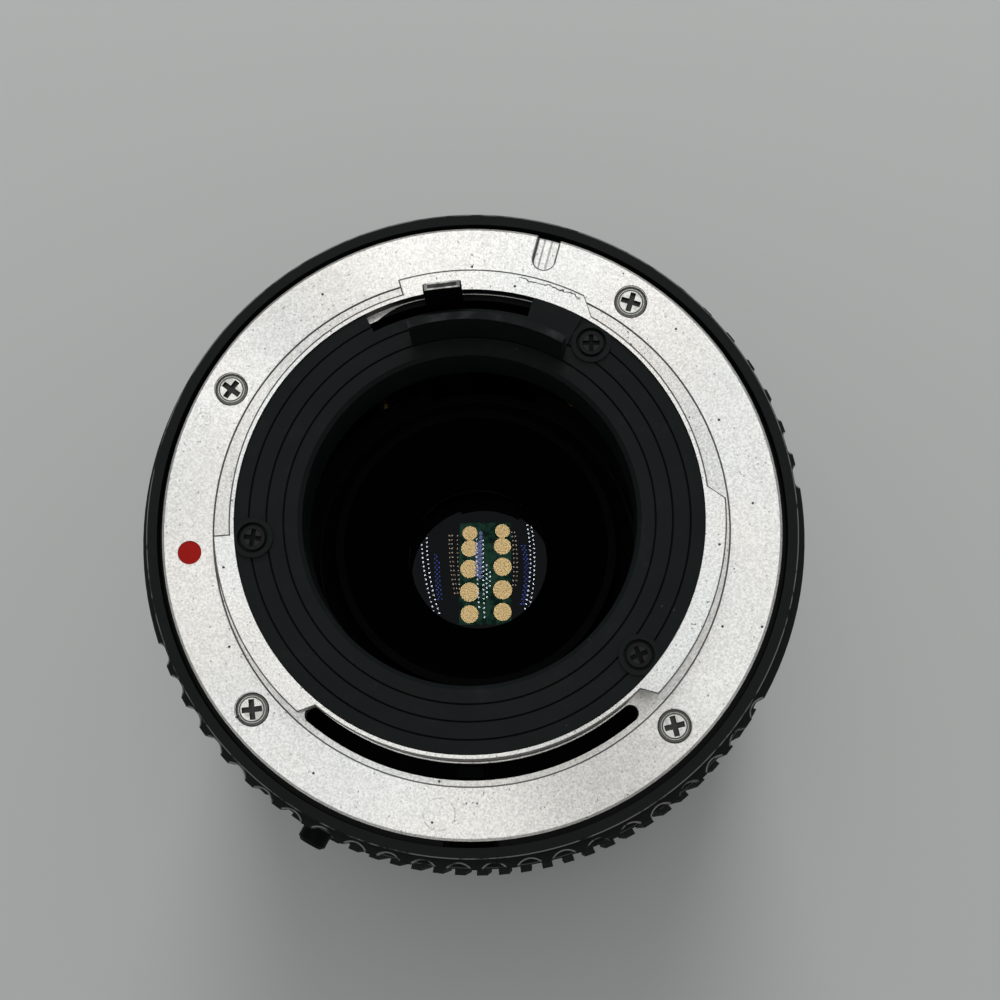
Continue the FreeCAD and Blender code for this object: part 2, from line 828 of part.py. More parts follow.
def detent_pits(bore_r):
    reach = aperture_turn + detent_margin
    start = detent_angle - reach
    end = detent_angle + reach
    z = detent_z()
    track_r = bore_r + detent_track
    half = detent_half_width
    pits = [sector(bore_r - over, track_r, z - half, z + half, start, end)]
    for i in range(detent_count):
        angle = detent_angle + (i - (detent_count - 1) / 2) * detent_step
        pits.append(radial(angle, z, detent_pit_r, bore_r - over, track_r + detent_pit_depth))
    return pits


def detent_z():
    return aperture_front_z + detent_height


def coupler_screw_places():
    r = bearing_r + slide_gap + coupler_screw_setback
    return [(r, coupler_angle - coupler_screw_spread), (r, coupler_angle + coupler_screw_spread)]


# Aperture coupler, arm under the flange and lug in the curved slot
def aperture_coupler():
    lug_r = slot_middle_r - coupler_lug_wall / 2
    start = coupler_angle - coupler_half_angle
    end = coupler_angle + coupler_half_angle
    arm_outer_r = bearing_r + slide_gap + coupler_reach
    z0 = coupler_z + seat_gap
    arm = sector(lug_r, arm_outer_r, z0, z0 + coupler_thickness, start, end)
    lug_z = flange_z - coupler_lug_setback
    inset = coupler_lug_inset
    lug = sector(lug_r, lug_r + coupler_lug_wall, z0, lug_z, start + inset, end - inset)
    body = arm.fuse(lug).removeSplitter()
    holes = []
    for r, angle in coupler_screw_places():
        hole_z = z0 + coupler_thickness + over
        holes.append(upright(r, angle, coupler_screw_r + seat_gap, z0 - over, hole_z))
    return cut_all(body, holes)


def coupler_screws():
    screws = []
    top_z = coupler_z + seat_gap + coupler_thickness + coupler_screw_head
    head = coupler_screw_head - seat_gap
    for r, angle in coupler_screw_places():
        head_r = coupler_screw_head_r
        length = coupler_screw_length
        screws.append(small_screw(r, angle, top_z, head_r, head, coupler_screw_r, length))
    return Part.makeCompound(screws)


# Click ball and its spring in a blind hole under the aperture ring
def ball_centre_r():
    return bearing_r + slide_gap + detent_track - pin_gap - ball_r


def click_ball():
    return Part.makeSphere(ball_r, point(ball_centre_r(), detent_angle, detent_z()))


def click_spring():
    r1 = ball_centre_r() - ball_r - seat_gap
    r0 = barrel_inner_r + click_floor + seat_gap
    radius = ball_r - ball_spring_wire
    z = detent_z()
    return coil(detent_angle, z, radius, ball_spring_wire, ball_spring_turns, r0, r1)


# Main barrel, bearing for both rings, index band and seat for the flange
def main_barrel():
    nose_r = barrel_outer_r - barrel_nose_step
    nose_z = zoom_front_z + barrel_ring_length
    body = turned([
        (barrel_inner_r, zoom_front_z),
        (nose_r, zoom_front_z),
        (nose_r, nose_z),
        (barrel_outer_r, nose_z),
        (barrel_outer_r, index_front_z),
        (index_band_r - fine_bevel, index_front_z),
        (index_band_r, index_front_z + fine_bevel),
        (index_band_r, index_rear_z - fine_bevel),
        (index_band_r - fine_bevel, index_rear_z),
        (bearing_r, index_rear_z),
        (bearing_r, seat_z),
        (bearing_inner_r, seat_z),
        (bearing_inner_r, guide_seat_z),
        (guide_outer_r + turn_gap, guide_seat_z),
        (guide_outer_r + turn_gap, web_z),
        (barrel_inner_r, web_z),
    ])
    tools = []
    window_z = key_z - zoom_key_r - turn_gap
    window_top = key_z + zoom_key_r + turn_gap
    start = zoom_key_angle - window_margin
    end = zoom_key_angle + zoom_turn + window_margin
    window_r = barrel_outer_r + pin_gap
    tools.append(sector(barrel_inner_r - over, window_r, window_z, window_top, start, end))
    swing = aperture_turn + coupler_half_angle + coupler_swing_margin
    arm_z = coupler_z - loose_gap
    start = coupler_angle - swing
    end = coupler_angle + swing
    tools.append(sector(bearing_inner_r - over, bearing_r + over, arm_z, seat_z + over, start, end))
    for angle in mount_screw_angles:
        hole_r = mount_screw_shank_r + seat_gap
        depth_z = flange_z - mount_screw_length - loose_gap
        tools.append(upright(mount_screw_r, angle, hole_r, depth_z, seat_z + over))
    for angle in guide_screw_angles:
        hole_r = guide_screw_r + seat_gap
        tools.append(upright(guide_screw_place_r(), angle, hole_r, web_z - over, guide_seat_z + over))
    hole_r = ball_r + pin_gap
    floor_r = barrel_inner_r + click_floor
    tools.append(radial(detent_angle, detent_z(), hole_r, floor_r, bearing_r + over))
    return cut_all(body, tools)


def guide_screw_place_r():
    return cam_outer_r + guide_screw_setback


# Retaining ring on the front of the main barrel holds the zoom ring
def barrel_front_ring():
    nose_r = barrel_outer_r - barrel_nose_step + seat_gap
    return tube(nose_r, barrel_ring_r, zoom_front_z, zoom_front_z + barrel_ring_length - seat_gap)


# Guide tube with straight slots, bolted to the web of the main barrel
def straight_slot(angle, z0, z1, r_in, r_out, radius):
    low = radial(angle, z0, radius, r_in, r_out)
    high = radial(angle, z1, radius, r_in, r_out)
    middle = bar(r_in, r_out, radius * 2, z0, z1, angle)
    return low.fuse([high, middle])


def guide_tube():
    flange_outer_r = bearing_inner_r - loose_gap
    collar_inner_r = lever_ring_r + slide_gap
    collar_outer_r = collar_inner_r + lever_collar_wall
    collar_top = lever_ring_z + lever_ring_thickness + slide_gap
    seat = guide_seat_z + seat_gap
    body = turned([
        (guide_inner_r, zoom_front_z + loose_gap),
        (guide_outer_r, zoom_front_z + loose_gap),
        (guide_outer_r, seat),
        (flange_outer_r, seat),
        (flange_outer_r, guide_flange_z),
        (collar_outer_r, guide_flange_z),
        (collar_outer_r, collar_top),
        (collar_inner_r, collar_top),
        (collar_inner_r, guide_flange_z),
        (guide_inner_r, guide_flange_z),
    ])
    slot_r = pin_r + pin_gap
    r_in = guide_inner_r - over
    r_out = guide_outer_r + over
    tools = []
    for angle in front_pin_angles:
        top = front_pin_height + front_travel
        tools.append(straight_slot(angle, front_pin_height, top, r_in, r_out, slot_r))
    for angle in rear_pin_angles:
        top = rear_pin_height + rear_travel
        tools.append(straight_slot(angle, rear_pin_height, top, r_in, r_out, slot_r))
    for angle in guide_screw_angles:
        hole_r = guide_screw_r + pin_gap
        tools.append(upright(guide_screw_place_r(), angle, hole_r, seat - over, guide_flange_z + over))
    return cut_all(body, tools)


def guide_tube_screws():
    screws = []
    for angle in guide_screw_angles:
        r = guide_screw_place_r()
        head_z = guide_flange_z + seat_gap
        top_z = head_z + guide_screw_head
        head_r = guide_screw_head_r
        length = guide_screw_length
        screws.append(small_screw(r, angle, top_z, head_r, guide_screw_head, guide_screw_r, length))
    return Part.makeCompound(screws)


# Cam barrel, six helical slots that turn the zoom ring's angle into two travels
def helical_slot(angle, z, travel, radius):
    middle_r = (cam_inner_r + cam_outer_r) / 2
    sweep = math.radians(zoom_turn)
    slope = math.atan2(travel, middle_r * sweep)
    half_height = radius / math.cos(slope)
    r_in = cam_inner_r - over
    r_out = cam_outer_r + over
    steps = 9
    sections = []
    for i in range(steps):
        share = i / (steps - 1)
        a = angle - zoom_turn * share
        h = z + travel * share
        corners = [
            point(r_in, a, h - half_height),
            point(r_out, a, h - half_height),
            point(r_out, a, h + half_height),
            point(r_in, a, h + half_height),
        ]
        sections.append(Part.makePolygon(corners + [corners[0]]))
    ribbon = Part.makeLoft(sections, True, False)
    first = radial(angle, z, radius, r_in, r_out)
    last = radial(angle - zoom_turn, z + travel, radius, r_in, r_out)
    return [ribbon, first, last]


def cam_barrel():
    body = tube(cam_inner_r, cam_outer_r, cam_front_z, cam_rear_z)
    radius = pin_r + pin_gap
    for angle in front_pin_angles:
        for tool in helical_slot(angle, front_pin_height, front_travel, radius):
            body = body.cut(tool)
    for angle in rear_pin_angles:
        for tool in helical_slot(angle, rear_pin_height, rear_travel, radius):
            body = body.cut(tool)
    hole = radial(zoom_key_angle, key_z, zoom_key_r + seat_gap, cam_inner_r - over, cam_outer_r + over)
    return body.cut(hole)


def cam_retaining_ring():
    z0 = zoom_front_z + loose_gap
    return tube(guide_outer_r + seat_gap, cam_outer_r, z0, z0 + cam_ring_length)


# Zoom ring with front scale band, grip seat and rear band
def zoom_ring():
    seat_r = grip_seat_r(zoom_grip_r)
    grip_z0 = zoom_grip_z
    grip_z1 = zoom_grip_z + zoom_grip_length
    body = turned([
        (barrel_ring_r + turn_gap, zoom_front_z),
        (scale_band_r - zoom_bevel, zoom_front_z),
        (scale_band_r, zoom_front_z + zoom_bevel),
        (scale_band_r, grip_z0),
        (seat_r, grip_z0),
        (seat_r, grip_z1),
        (zoom_band_r, grip_z1),
        (zoom_band_r, zoom_rear_z - ring_bevel),
        (zoom_band_r - ring_bevel, zoom_rear_z),
        (zoom_inner_r, zoom_rear_z),
        (zoom_inner_r, zoom_step_z),
        (barrel_ring_r + turn_gap, zoom_step_z),
    ])
    flange_hole_r = button_flange_r + slide_gap
    stem_hole_r = button_r + slide_gap
    shoulder = button_shoulder_r()
    tools = [
        radial(button_angle, button_z, flange_hole_r, zoom_inner_r - over, shoulder),
        radial(button_angle, button_z, stem_hole_r, zoom_inner_r, zoom_band_r + over),
        radial(zoom_key_angle, key_z, zoom_key_head_r + seat_gap, zoom_inner_r - over, zoom_key_outer_r()),
    ]
    return cut_all(body, tools)


def grip_seat_r(grip_r):
    return grip_r - grip_depth - grip_wall


def zoom_grip():
    seat_r = grip_seat_r(zoom_grip_r)
    return ribbed_grip(zoom_grip_r, seat_r, zoom_grip_z, zoom_grip_length, zoom_ribs)


def zoom_key_outer_r():
    return zoom_inner_r + zoom_key_reach


def zoom_key():
    outer = zoom_key_outer_r() - seat_gap
    seat = zoom_inner_r + slide_gap
    head = radial(zoom_key_angle, key_z, zoom_key_head_r, seat, outer)
    stem = radial(zoom_key_angle, key_z, zoom_key_r, cam_inner_r + slide_gap, seat)
    return head.fuse(stem).removeSplitter()


# Macro button, its spring and the cap that the spring stands on
def spring_closed_length():
    return button_spring_wire * (button_spring_turns + 1)


def button_shoulder_r():
    seat = button_cap_r() + button_cap_thickness
    return seat + spring_closed_length() + button_travel + button_flange_thickness + pin_gap


def button_flange_outer_r():
    return button_shoulder_r() - pin_gap


def macro_button():
    flange_top = button_flange_outer_r()
    return radial_turned(button_angle, button_z, [
        (0, flange_top - button_flange_thickness),
        (button_flange_r, flange_top - button_flange_thickness),
        (button_flange_r, flange_top),
        (button_r, flange_top),
        (button_r, button_tip_r - button_bevel),
        (button_r - button_bevel, button_tip_r),
        (0, button_tip_r),
    ])


def button_cap_r():
    return zoom_inner_r + slide_gap


def button_cap():
    radius = button_flange_r + slide_gap - seat_gap
    return radial(button_angle, button_z, radius, button_cap_r(), button_cap_r() + button_cap_thickness)


def macro_button_spring():
    r0 = button_cap_r() + button_cap_thickness + seat_gap
    r1 = button_flange_outer_r() - button_flange_thickness - seat_gap
    radius = button_flange_r - button_spring_inset
    return coil(button_angle, button_z, radius, button_spring_wire, button_spring_turns, r0, r1)


# Front tube slides in the main barrel on three follower pins
def front_tube():
    body = turned([
        (front_tube_inner_r, front_tube_z),
        (front_tube_outer_r, front_tube_z),
        (front_tube_outer_r, collar_z),
        (collar_r, collar_z),
        (collar_r, collar_rear_z - ring_bevel),
        (collar_r - ring_bevel, collar_rear_z),
        (front_tube_outer_r, collar_rear_z),
        (front_tube_outer_r, front_tube_rear_z),
        (front_tube_inner_r, front_tube_rear_z),
    ])
    tools = []
    for angle in front_pin_angles:
        hole_r = pin_r + seat_gap
        r0 = front_tube_inner_r - over
        tools.append(radial(angle, front_pin_height, hole_r, r0, front_tube_outer_r + over))
    return cut_all(body, tools)


def front_follower_pins():
    pins = []
    for angle in front_pin_angles:
        r0 = guide_inner_r + turn_gap
        pins.append(radial(angle, front_pin_height, pin_r, r0, front_tube_outer_r - slide_gap))
    return Part.makeCompound(pins)


def focus_retaining_ring():
    outer_r = focus_recess_r - retaining_step
    inner_r = front_tube_outer_r + seat_gap
    return tube(inner_r, outer_r, front_tube_z, front_tube_z + retaining_length)


# Focus ring with distance band, turns on the front tube
def focus_ring():
    seat_r = grip_seat_r(focus_grip_r)
    grip_z0 = focus_grip_z
    grip_z1 = focus_grip_z + focus_grip_length
    body = turned([
        (focus_recess_r, focus_front_z),
        (scale_band_r - focus_bevel, focus_front_z),
        (scale_band_r, focus_front_z + focus_bevel),
        (scale_band_r, grip_z0),
        (seat_r, grip_z0),
        (seat_r, grip_z1),
        (scale_band_r, grip_z1),
        (scale_band_r, focus_rear_z - ring_bevel),
        (scale_band_r - ring_bevel, focus_rear_z),
        (focus_inner_r, focus_rear_z),
        (focus_inner_r, focus_step_z),
        (focus_recess_r, focus_step_z),
    ])
    tools = []
    half = focus_key_r + slide_gap
    low = focus_key_z() - half - loose_gap
    high = focus_key_z() + focus_travel + half + loose_gap
    for angle in focus_key_angles:
        groove_r = front_rim_r + focus_key_reach + loose_gap
        tools.append(bar(front_rim_r - over, groove_r, half * 2, low, high, angle))
    return cut_all(body, tools)


def focus_grip():
    seat_r = grip_seat_r(focus_grip_r)
    return ribbed_grip(focus_grip_r, seat_r, focus_grip_z, focus_grip_length, focus_ribs)


def focus_key_z():
    return front_rim_length - focus_key_r - focus_key_setback


def focus_keys():
    keys = []
    for angle in focus_key_angles:
        inner_r = front_rim_r - focus_key_root
        outer_r = front_rim_r + focus_key_reach
        keys.append(radial(angle, focus_key_z(), focus_key_r, inner_r, outer_r))
    return Part.makeCompound(keys)


# Front cell with the filter thread, stepped bore for three elements
def front_glass_z(index):
    return front_glass_setback + front_glass_pitch * index


def front_cell():
    shelf_z = filter_thread_length
    shelf_r = filter_thread_r - filter_thread_step
    inner = [(filter_thread_r, 0), (filter_thread_r, shelf_z), (shelf_r, shelf_z)]
    inner.append((shelf_r, shelf_z + trim_seat_depth))
    mouth_r = front_glass_rs[0] + pin_gap
    mouth_z = front_glass_setback - turn_gap
    inner.append((mouth_r + front_mouth_slope, mouth_z))
    inner.append((mouth_r, mouth_z))
    for i in range(3):
        bore_r = front_glass_rs[i] + pin_gap
        step_z = front_glass_z(i) + front_glass_edges[i] + pin_gap
        inner.append((bore_r, step_z))
        if i < 2:
            inner.append((front_glass_rs[i + 1] + pin_gap, step_z))
    inner.append((front_glass_rs[2] - front_cell_lip, step_z))
    inner.append((front_glass_rs[2] - front_cell_lip, front_skirt_z))
    outer = [
        (front_skirt_r, front_skirt_z),
        (front_skirt_r, front_rim_length),
        (front_rim_r, front_rim_length),
        (front_rim_r, ring_bevel),
        (front_rim_r - ring_bevel, 0),
    ]
    body = turned(inner + outer)
    tools = []
    for angle in focus_key_angles:
        hole_r = focus_key_r + seat_gap
        inner_r = front_rim_r - focus_key_root - seat_gap
        tools.append(radial(angle, focus_key_z(), hole_r, inner_r, front_rim_r + over))
    return cut_all(body, tools)


def front_trim_ring():
    outer_r = filter_thread_r - filter_thread_step - pin_gap
    front_z = filter_thread_length + slide_gap
    rear_z = front_glass_setback - loose_gap
    return turned([
        (outer_r, front_z),
        (outer_r, front_z + trim_edge),
        (front_glass_rs[0] + front_mouth_slope - pin_gap, rear_z),
        (front_trim_hole_r, rear_z),
        (front_trim_hole_r, rear_z - trim_edge / 2),
    ])


def front_element(index):
    z0 = front_glass_z(index)
    z1 = z0 + front_glass_edges[index]
    r = front_glass_rs[index]
    return glass(r, z0, z1, front_glass_front_bulges[index], front_glass_rear_bulges[index])


# Rear group, a cell on two lands that slides in the guide tube
def relief(r_in, z0, z1):
    return sector(r_in, rear_land_r + over, z0, z1, relief_start, relief_end)


def rear_cell():
    land_z = rear_pin_height - pin_r - loose_gap
    land_top = rear_pin_height + pin_r + loose_gap
    bore_r = rear_glass_r + pin_gap
    glass_z = rear_element_z(0)
    thread_r = hood_thread_r() + pin_gap
    body = turned([
        (blade_inner_r + cell_lip, cell_front_z),
        (rear_land_r, cell_front_z),
        (rear_land_r, cell_front_z + cell_front_land),
        (rear_cell_r, cell_front_z + cell_front_land),
        (rear_cell_r, land_z),
        (rear_land_r, land_z),
        (rear_land_r, land_top),
        (rear_cell_r, land_top),
        (rear_cell_r, cell_rear_z),
        (thread_r, cell_rear_z),
        (thread_r, hood_z - slide_gap),
        (bore_r, hood_z - slide_gap),
        (bore_r, glass_z - pin_gap),
        (blade_inner_r + cell_lip, glass_z - pin_gap),
    ])
    tools = [relief(relief_r, cell_front_z - over, cell_rear_z)]
    for angle in rear_pin_angles:
        hole_r = pin_r + seat_gap
        r0 = rear_cell_r + loose_gap
        tools.append(radial(angle, rear_pin_height, hole_r, r0, rear_land_r + over))
    return cut_all(body, tools)


def rear_follower_pins():
    pins = []
    for angle in rear_pin_angles:
        r0 = rear_cell_r + loose_gap + pin_gap
        pins.append(radial(angle, rear_pin_height, pin_r, r0, cam_outer_r - turn_gap))
    return Part.makeCompound(pins)


def rear_element_z(index):
    z = last_glass_z
    for i in range(3 - index):
        z = z - rear_spacer_length - rear_glass_edges[2 - i] - pin_gap * 2
    return z


def rear_element(index):
    z0 = rear_element_z(index)
    z1 = z0 + rear_glass_edges[index]
    front = rear_glass_front_bulges[index]
    rear = rear_glass_rear_bulges[index]
    return glass(rear_glass_r, z0, z1, front, rear)


def rear_spacers():
    rings = []
    for index in range(3):
        z0 = rear_element_z(index) + rear_glass_edges[index] + pin_gap
        outer_r = rear_glass_r
        rings.append(tube(outer_r - rear_spacer_wall, outer_r, z0, z0 + rear_spacer_length))
    return Part.makeCompound(rings)


def hood_thread_r():
    return rear_glass_r + hood_thread_wall


# Rear light hood, the dark cone above the last element, screwed into the cell
def rear_light_hood():
    base_z = rear_glass_z + hood_lift
    top_z = base_z + hood_length
    rim_outer_r = hood_rim_r + hood_wall
    thread_r = hood_thread_r()
    return turned([
        (thread_r, hood_z),
        (thread_r, cell_rear_z + pin_gap),
        (rear_cell_r - hood_collar_step, cell_rear_z + pin_gap),
        (rear_cell_r - hood_collar_step, cell_rear_z + hood_collar),
        (rim_outer_r, cell_rear_z + hood_collar),
        (rim_outer_r, top_z),
        (hood_rim_r, top_z),
        (hood_hole_r, base_z),
        (hood_hole_r, rear_glass_z - hood_foot),
        (rear_glass_r - slide_gap - pin_gap, hood_z),
    ])


# Iris housing, plate with pivot holes and a wall round the drive ring
def iris_housing():
    plate_z = iris_front_z + iris_plate
    wall_r = rear_land_r - iris_wall
    body = turned([
        (iris_hole_r, iris_front_z),
        (rear_land_r, iris_front_z),
        (rear_land_r, cell_front_z - seat_gap),
        (wall_r, cell_front_z - seat_gap),
        (wall_r, plate_z),
        (iris_hole_r, plate_z),
    ])
    tools = [relief(drive_ring_r, iris_front_z - over, cell_front_z + over)]
    for i in range(blade_count):
        angle = blade_angle(i)
        hole_r = blade_pin_r + pin_gap
        tools.append(upright(blade_pivot_r, angle, hole_r, iris_front_z - over, plate_z + over))
    return cut_all(body, tools)


def blade_angle(index):
    return index * full_turn / blade_count


def closed_about_pivot(shape, turn):
    pivot = FreeCAD.Vector(blade_pivot_r, 0, 0)
    shape.rotate(pivot, axis_z, turn)
    return shape


# One iris blade in its closed position, pivot pin in front and drive pin behind
def iris_blade(index):
    z = blade_zone_z + index * blade_pitch
    start = blade_leaf_start
    end = blade_leaf_end
    neck = blade_tail_start
    ear = blade_ear_half
    edges = [
        arc_edge(blade_inner_r, start, end, z),
        line_edge(point(blade_inner_r, end, z), point(blade_tail_r, end, z)),
        arc_edge(blade_tail_r, end, neck, z),
        line_edge(point(blade_tail_r, neck, z), point(blade_ear_r, ear, z)),
        arc_edge(blade_ear_r, ear, -start, z),
        line_edge(point(blade_ear_r, -start, z), point(blade_inner_r, start, z)),
    ]
    leaf = Part.Face(Part.Wire(edges)).extrude(axis_z * blade_thickness)
    pivot_z = iris_front_z + blade_pin_reach
    pivot = upright(blade_pivot_r, 0, blade_pin_r, pivot_z, z + blade_thickness)
    drive_z = drive_ring_z + drive_ring_thickness - blade_pin_reach
    drive = upright(blade_pivot_r, blade_drive_angle, blade_pin_r, z, drive_z)
    blade = closed_about_pivot(fused([leaf, pivot, drive]), blade_turn)
    blade.rotate(origin, axis_z, blade_angle(index))
    return blade


# Slot in the drive ring that keeps the blade's turn in step with the lever
def drive_pin_place(share):
    pivot = FreeCAD.Vector(blade_pivot_r, 0, 0)
    pin = point(blade_pivot_r, blade_drive_angle, 0)
    arm = pin.sub(pivot)
    turn = math.radians(blade_turn * (1 - share))
    x = arm.x * math.cos(turn) - arm.y * math.sin(turn) + pivot.x
    y = arm.x * math.sin(turn) + arm.y * math.cos(turn) + pivot.y
    back = math.radians(lever_turn * share)
    along = x * math.cos(back) - y * math.sin(back)
    across = x * math.sin(back) + y * math.cos(back)
    return FreeCAD.Vector(along, across, 0)


def drive_slot(z0, z1):
    half = blade_pin_r + slide_gap + pin_gap
    start = drive_pin_place(0)
    middle = drive_pin_place(0.5)
    end = drive_pin_place(1)
    path = Part.Arc(start, middle, end)
    centre = path.toShape().Curve.Center
    inner = []
    outer = []
    for p in [start, middle, end]:
        outward = p.sub(centre).normalize()
        outer.append(p + outward * half)
        inner.append(p - outward * half)
    flat = [
        Part.Arc(outer[0], outer[1], outer[2]).toShape(),
        line_edge(outer[2], inner[2]),
        Part.Arc(inner[2], inner[1], inner[0]).toShape(),
        line_edge(inner[0], outer[0]),
    ]
    body = Part.Face(Part.Wire(flat)).extrude(axis_z * (z1 - z0))
    first = Part.makeCylinder(half, z1 - z0, start, axis_z)
    last = Part.makeCylinder(half, z1 - z0, end, axis_z)
    slot = body.fuse([first, last])
    slot.translate(FreeCAD.Vector(0, 0, z0))
    return slot


def iris_drive_ring():
    z0 = drive_ring_z
    z1 = z0 + drive_ring_thickness
    ring = tube(blade_inner_r, drive_ring_r, z0, z1)
    rod_r = rod_inner_r + rod_thickness / 2
    rod_half = math.degrees((rod_width / 2 + slide_gap) / rod_inner_r)
    prong = math.degrees(prong_width / rod_r)
    prongs = []
    for side in [-1, 1]:
        near = lever_angle + side * rod_half
        far = lever_angle + side * (rod_half + prong)
        outer_r = rod_inner_r + rod_thickness
        root_r = drive_ring_r - loose_gap
        prongs.append(sector(root_r, outer_r, z0, z1, min(near, far), max(near, far)))
    body = fused([ring] + prongs)
    mouth_width = rod_width + slide_gap * 2
    mouth = bar(relief_r - turn_gap, guide_inner_r, mouth_width, z0 - over, z1 + over, lever_angle)
    tools = [mouth]
    for i in range(blade_count):
        slot = drive_slot(z0 - over, z1 + over)
        slot.rotate(origin, axis_z, blade_angle(i))
        tools.append(slot)
    for tool in tools:
        body = body.cut(tool)
    return body


pieces = {
    "bayonet_mount": bayonet_mount,
    "mount_screws": mount_screws,
    "alignment_dot": alignment_dot,
    "rear_baffle": rear_baffle,
    "baffle_screws": baffle_screws,
    "stop_down_lever": stop_down_lever,
    "aperture_ring": aperture_ring,
    "aperture_coupler": aperture_coupler,
    "coupler_screws": coupler_screws,
    "click_ball": click_ball,
    "click_spring": click_spring,
    "main_barrel": main_barrel,
    "barrel_front_ring": barrel_front_ring,
    "guide_tube": guide_tube,
    "guide_tube_screws": guide_tube_screws,
    "cam_barrel": cam_barrel,
    "cam_retaining_ring": cam_retaining_ring,
    "zoom_ring": zoom_ring,
    "zoom_grip": zoom_grip,
    "zoom_key": zoom_key,
    "macro_button": macro_button,
    "button_cap": button_cap,
    "macro_button_spring": macro_button_spring,
    "front_tube": front_tube,
    "front_follower_pins": front_follower_pins,
    "focus_retaining_ring": focus_retaining_ring,
    "focus_ring": focus_ring,
    "focus_grip": focus_grip,
    "focus_keys": focus_keys,
    "front_cell": front_cell,
    "front_trim_ring": front_trim_ring,
    "rear_cell": rear_cell,
    "rear_follower_pins": rear_follower_pins,
    "rear_spacers": rear_spacers,
    "rear_light_hood": rear_light_hood,
    "iris_housing": iris_housing,
    "iris_drive_ring": iris_drive_ring,
}

os.makedirs("parts", exist_ok=True)
shapes = {name: make() for name, make in pieces.items()}
for number in range(3):
    shapes["front_element_" + str(number + 1)] = front_element(number)
for number in range(4):
    shapes["rear_element_" + str(number + 1)] = rear_element(number)
for number in range(blade_count):
    shapes["iris_blade_" + str(number + 1)] = iris_blade(number)

for name, shape in shapes.items():
    shape.exportStep("parts/" + name + ".step")
    print(name, "solids", len(shape.Solids), "valid", shape.isValid(), "volume", round(shape.Volume, 2))
print("flange face at", round(flange_z, 3), "lever top at", round(flange_z + lever_tab_height, 3))
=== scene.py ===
import math

import bmesh
import bpy
from mathutils import Matrix, Vector


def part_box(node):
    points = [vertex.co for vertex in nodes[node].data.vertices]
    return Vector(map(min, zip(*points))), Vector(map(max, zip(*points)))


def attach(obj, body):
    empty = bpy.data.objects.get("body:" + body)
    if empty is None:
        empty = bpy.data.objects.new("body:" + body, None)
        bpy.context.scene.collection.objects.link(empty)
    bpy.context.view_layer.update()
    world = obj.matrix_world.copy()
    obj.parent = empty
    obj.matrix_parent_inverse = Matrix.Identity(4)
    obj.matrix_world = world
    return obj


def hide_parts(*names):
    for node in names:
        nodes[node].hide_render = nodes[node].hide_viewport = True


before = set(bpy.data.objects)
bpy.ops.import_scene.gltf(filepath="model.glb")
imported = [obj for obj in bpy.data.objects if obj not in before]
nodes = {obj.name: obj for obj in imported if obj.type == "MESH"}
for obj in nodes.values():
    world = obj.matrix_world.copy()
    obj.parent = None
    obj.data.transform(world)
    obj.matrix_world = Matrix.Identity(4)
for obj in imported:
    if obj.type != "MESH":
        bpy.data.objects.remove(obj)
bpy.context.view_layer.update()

mm = 0.001
print("frame loaded, nodes:", len(nodes))


# shader maths: a socket that can be added, multiplied and compared
class Wire:
    def __init__(self, paint, socket):
        self.paint = paint
        self.socket = socket

    def combine(self, operation, first, second):
        return self.paint.maths(operation, first, second)

    def __add__(self, other):
        return self.combine("ADD", self, other)

    def __radd__(self, other):
        return self.combine("ADD", other, self)

    def __sub__(self, other):
        return self.combine("SUBTRACT", self, other)

    def __rsub__(self, other):
        return self.combine("SUBTRACT", other, self)

    def __mul__(self, other):
        return self.combine("MULTIPLY", self, other)

    def __rmul__(self, other):
        return self.combine("MULTIPLY", other, self)

    def __truediv__(self, other):
        return self.combine("DIVIDE", self, other)

    def __pow__(self, other):
        return self.combine("POWER", self, other)


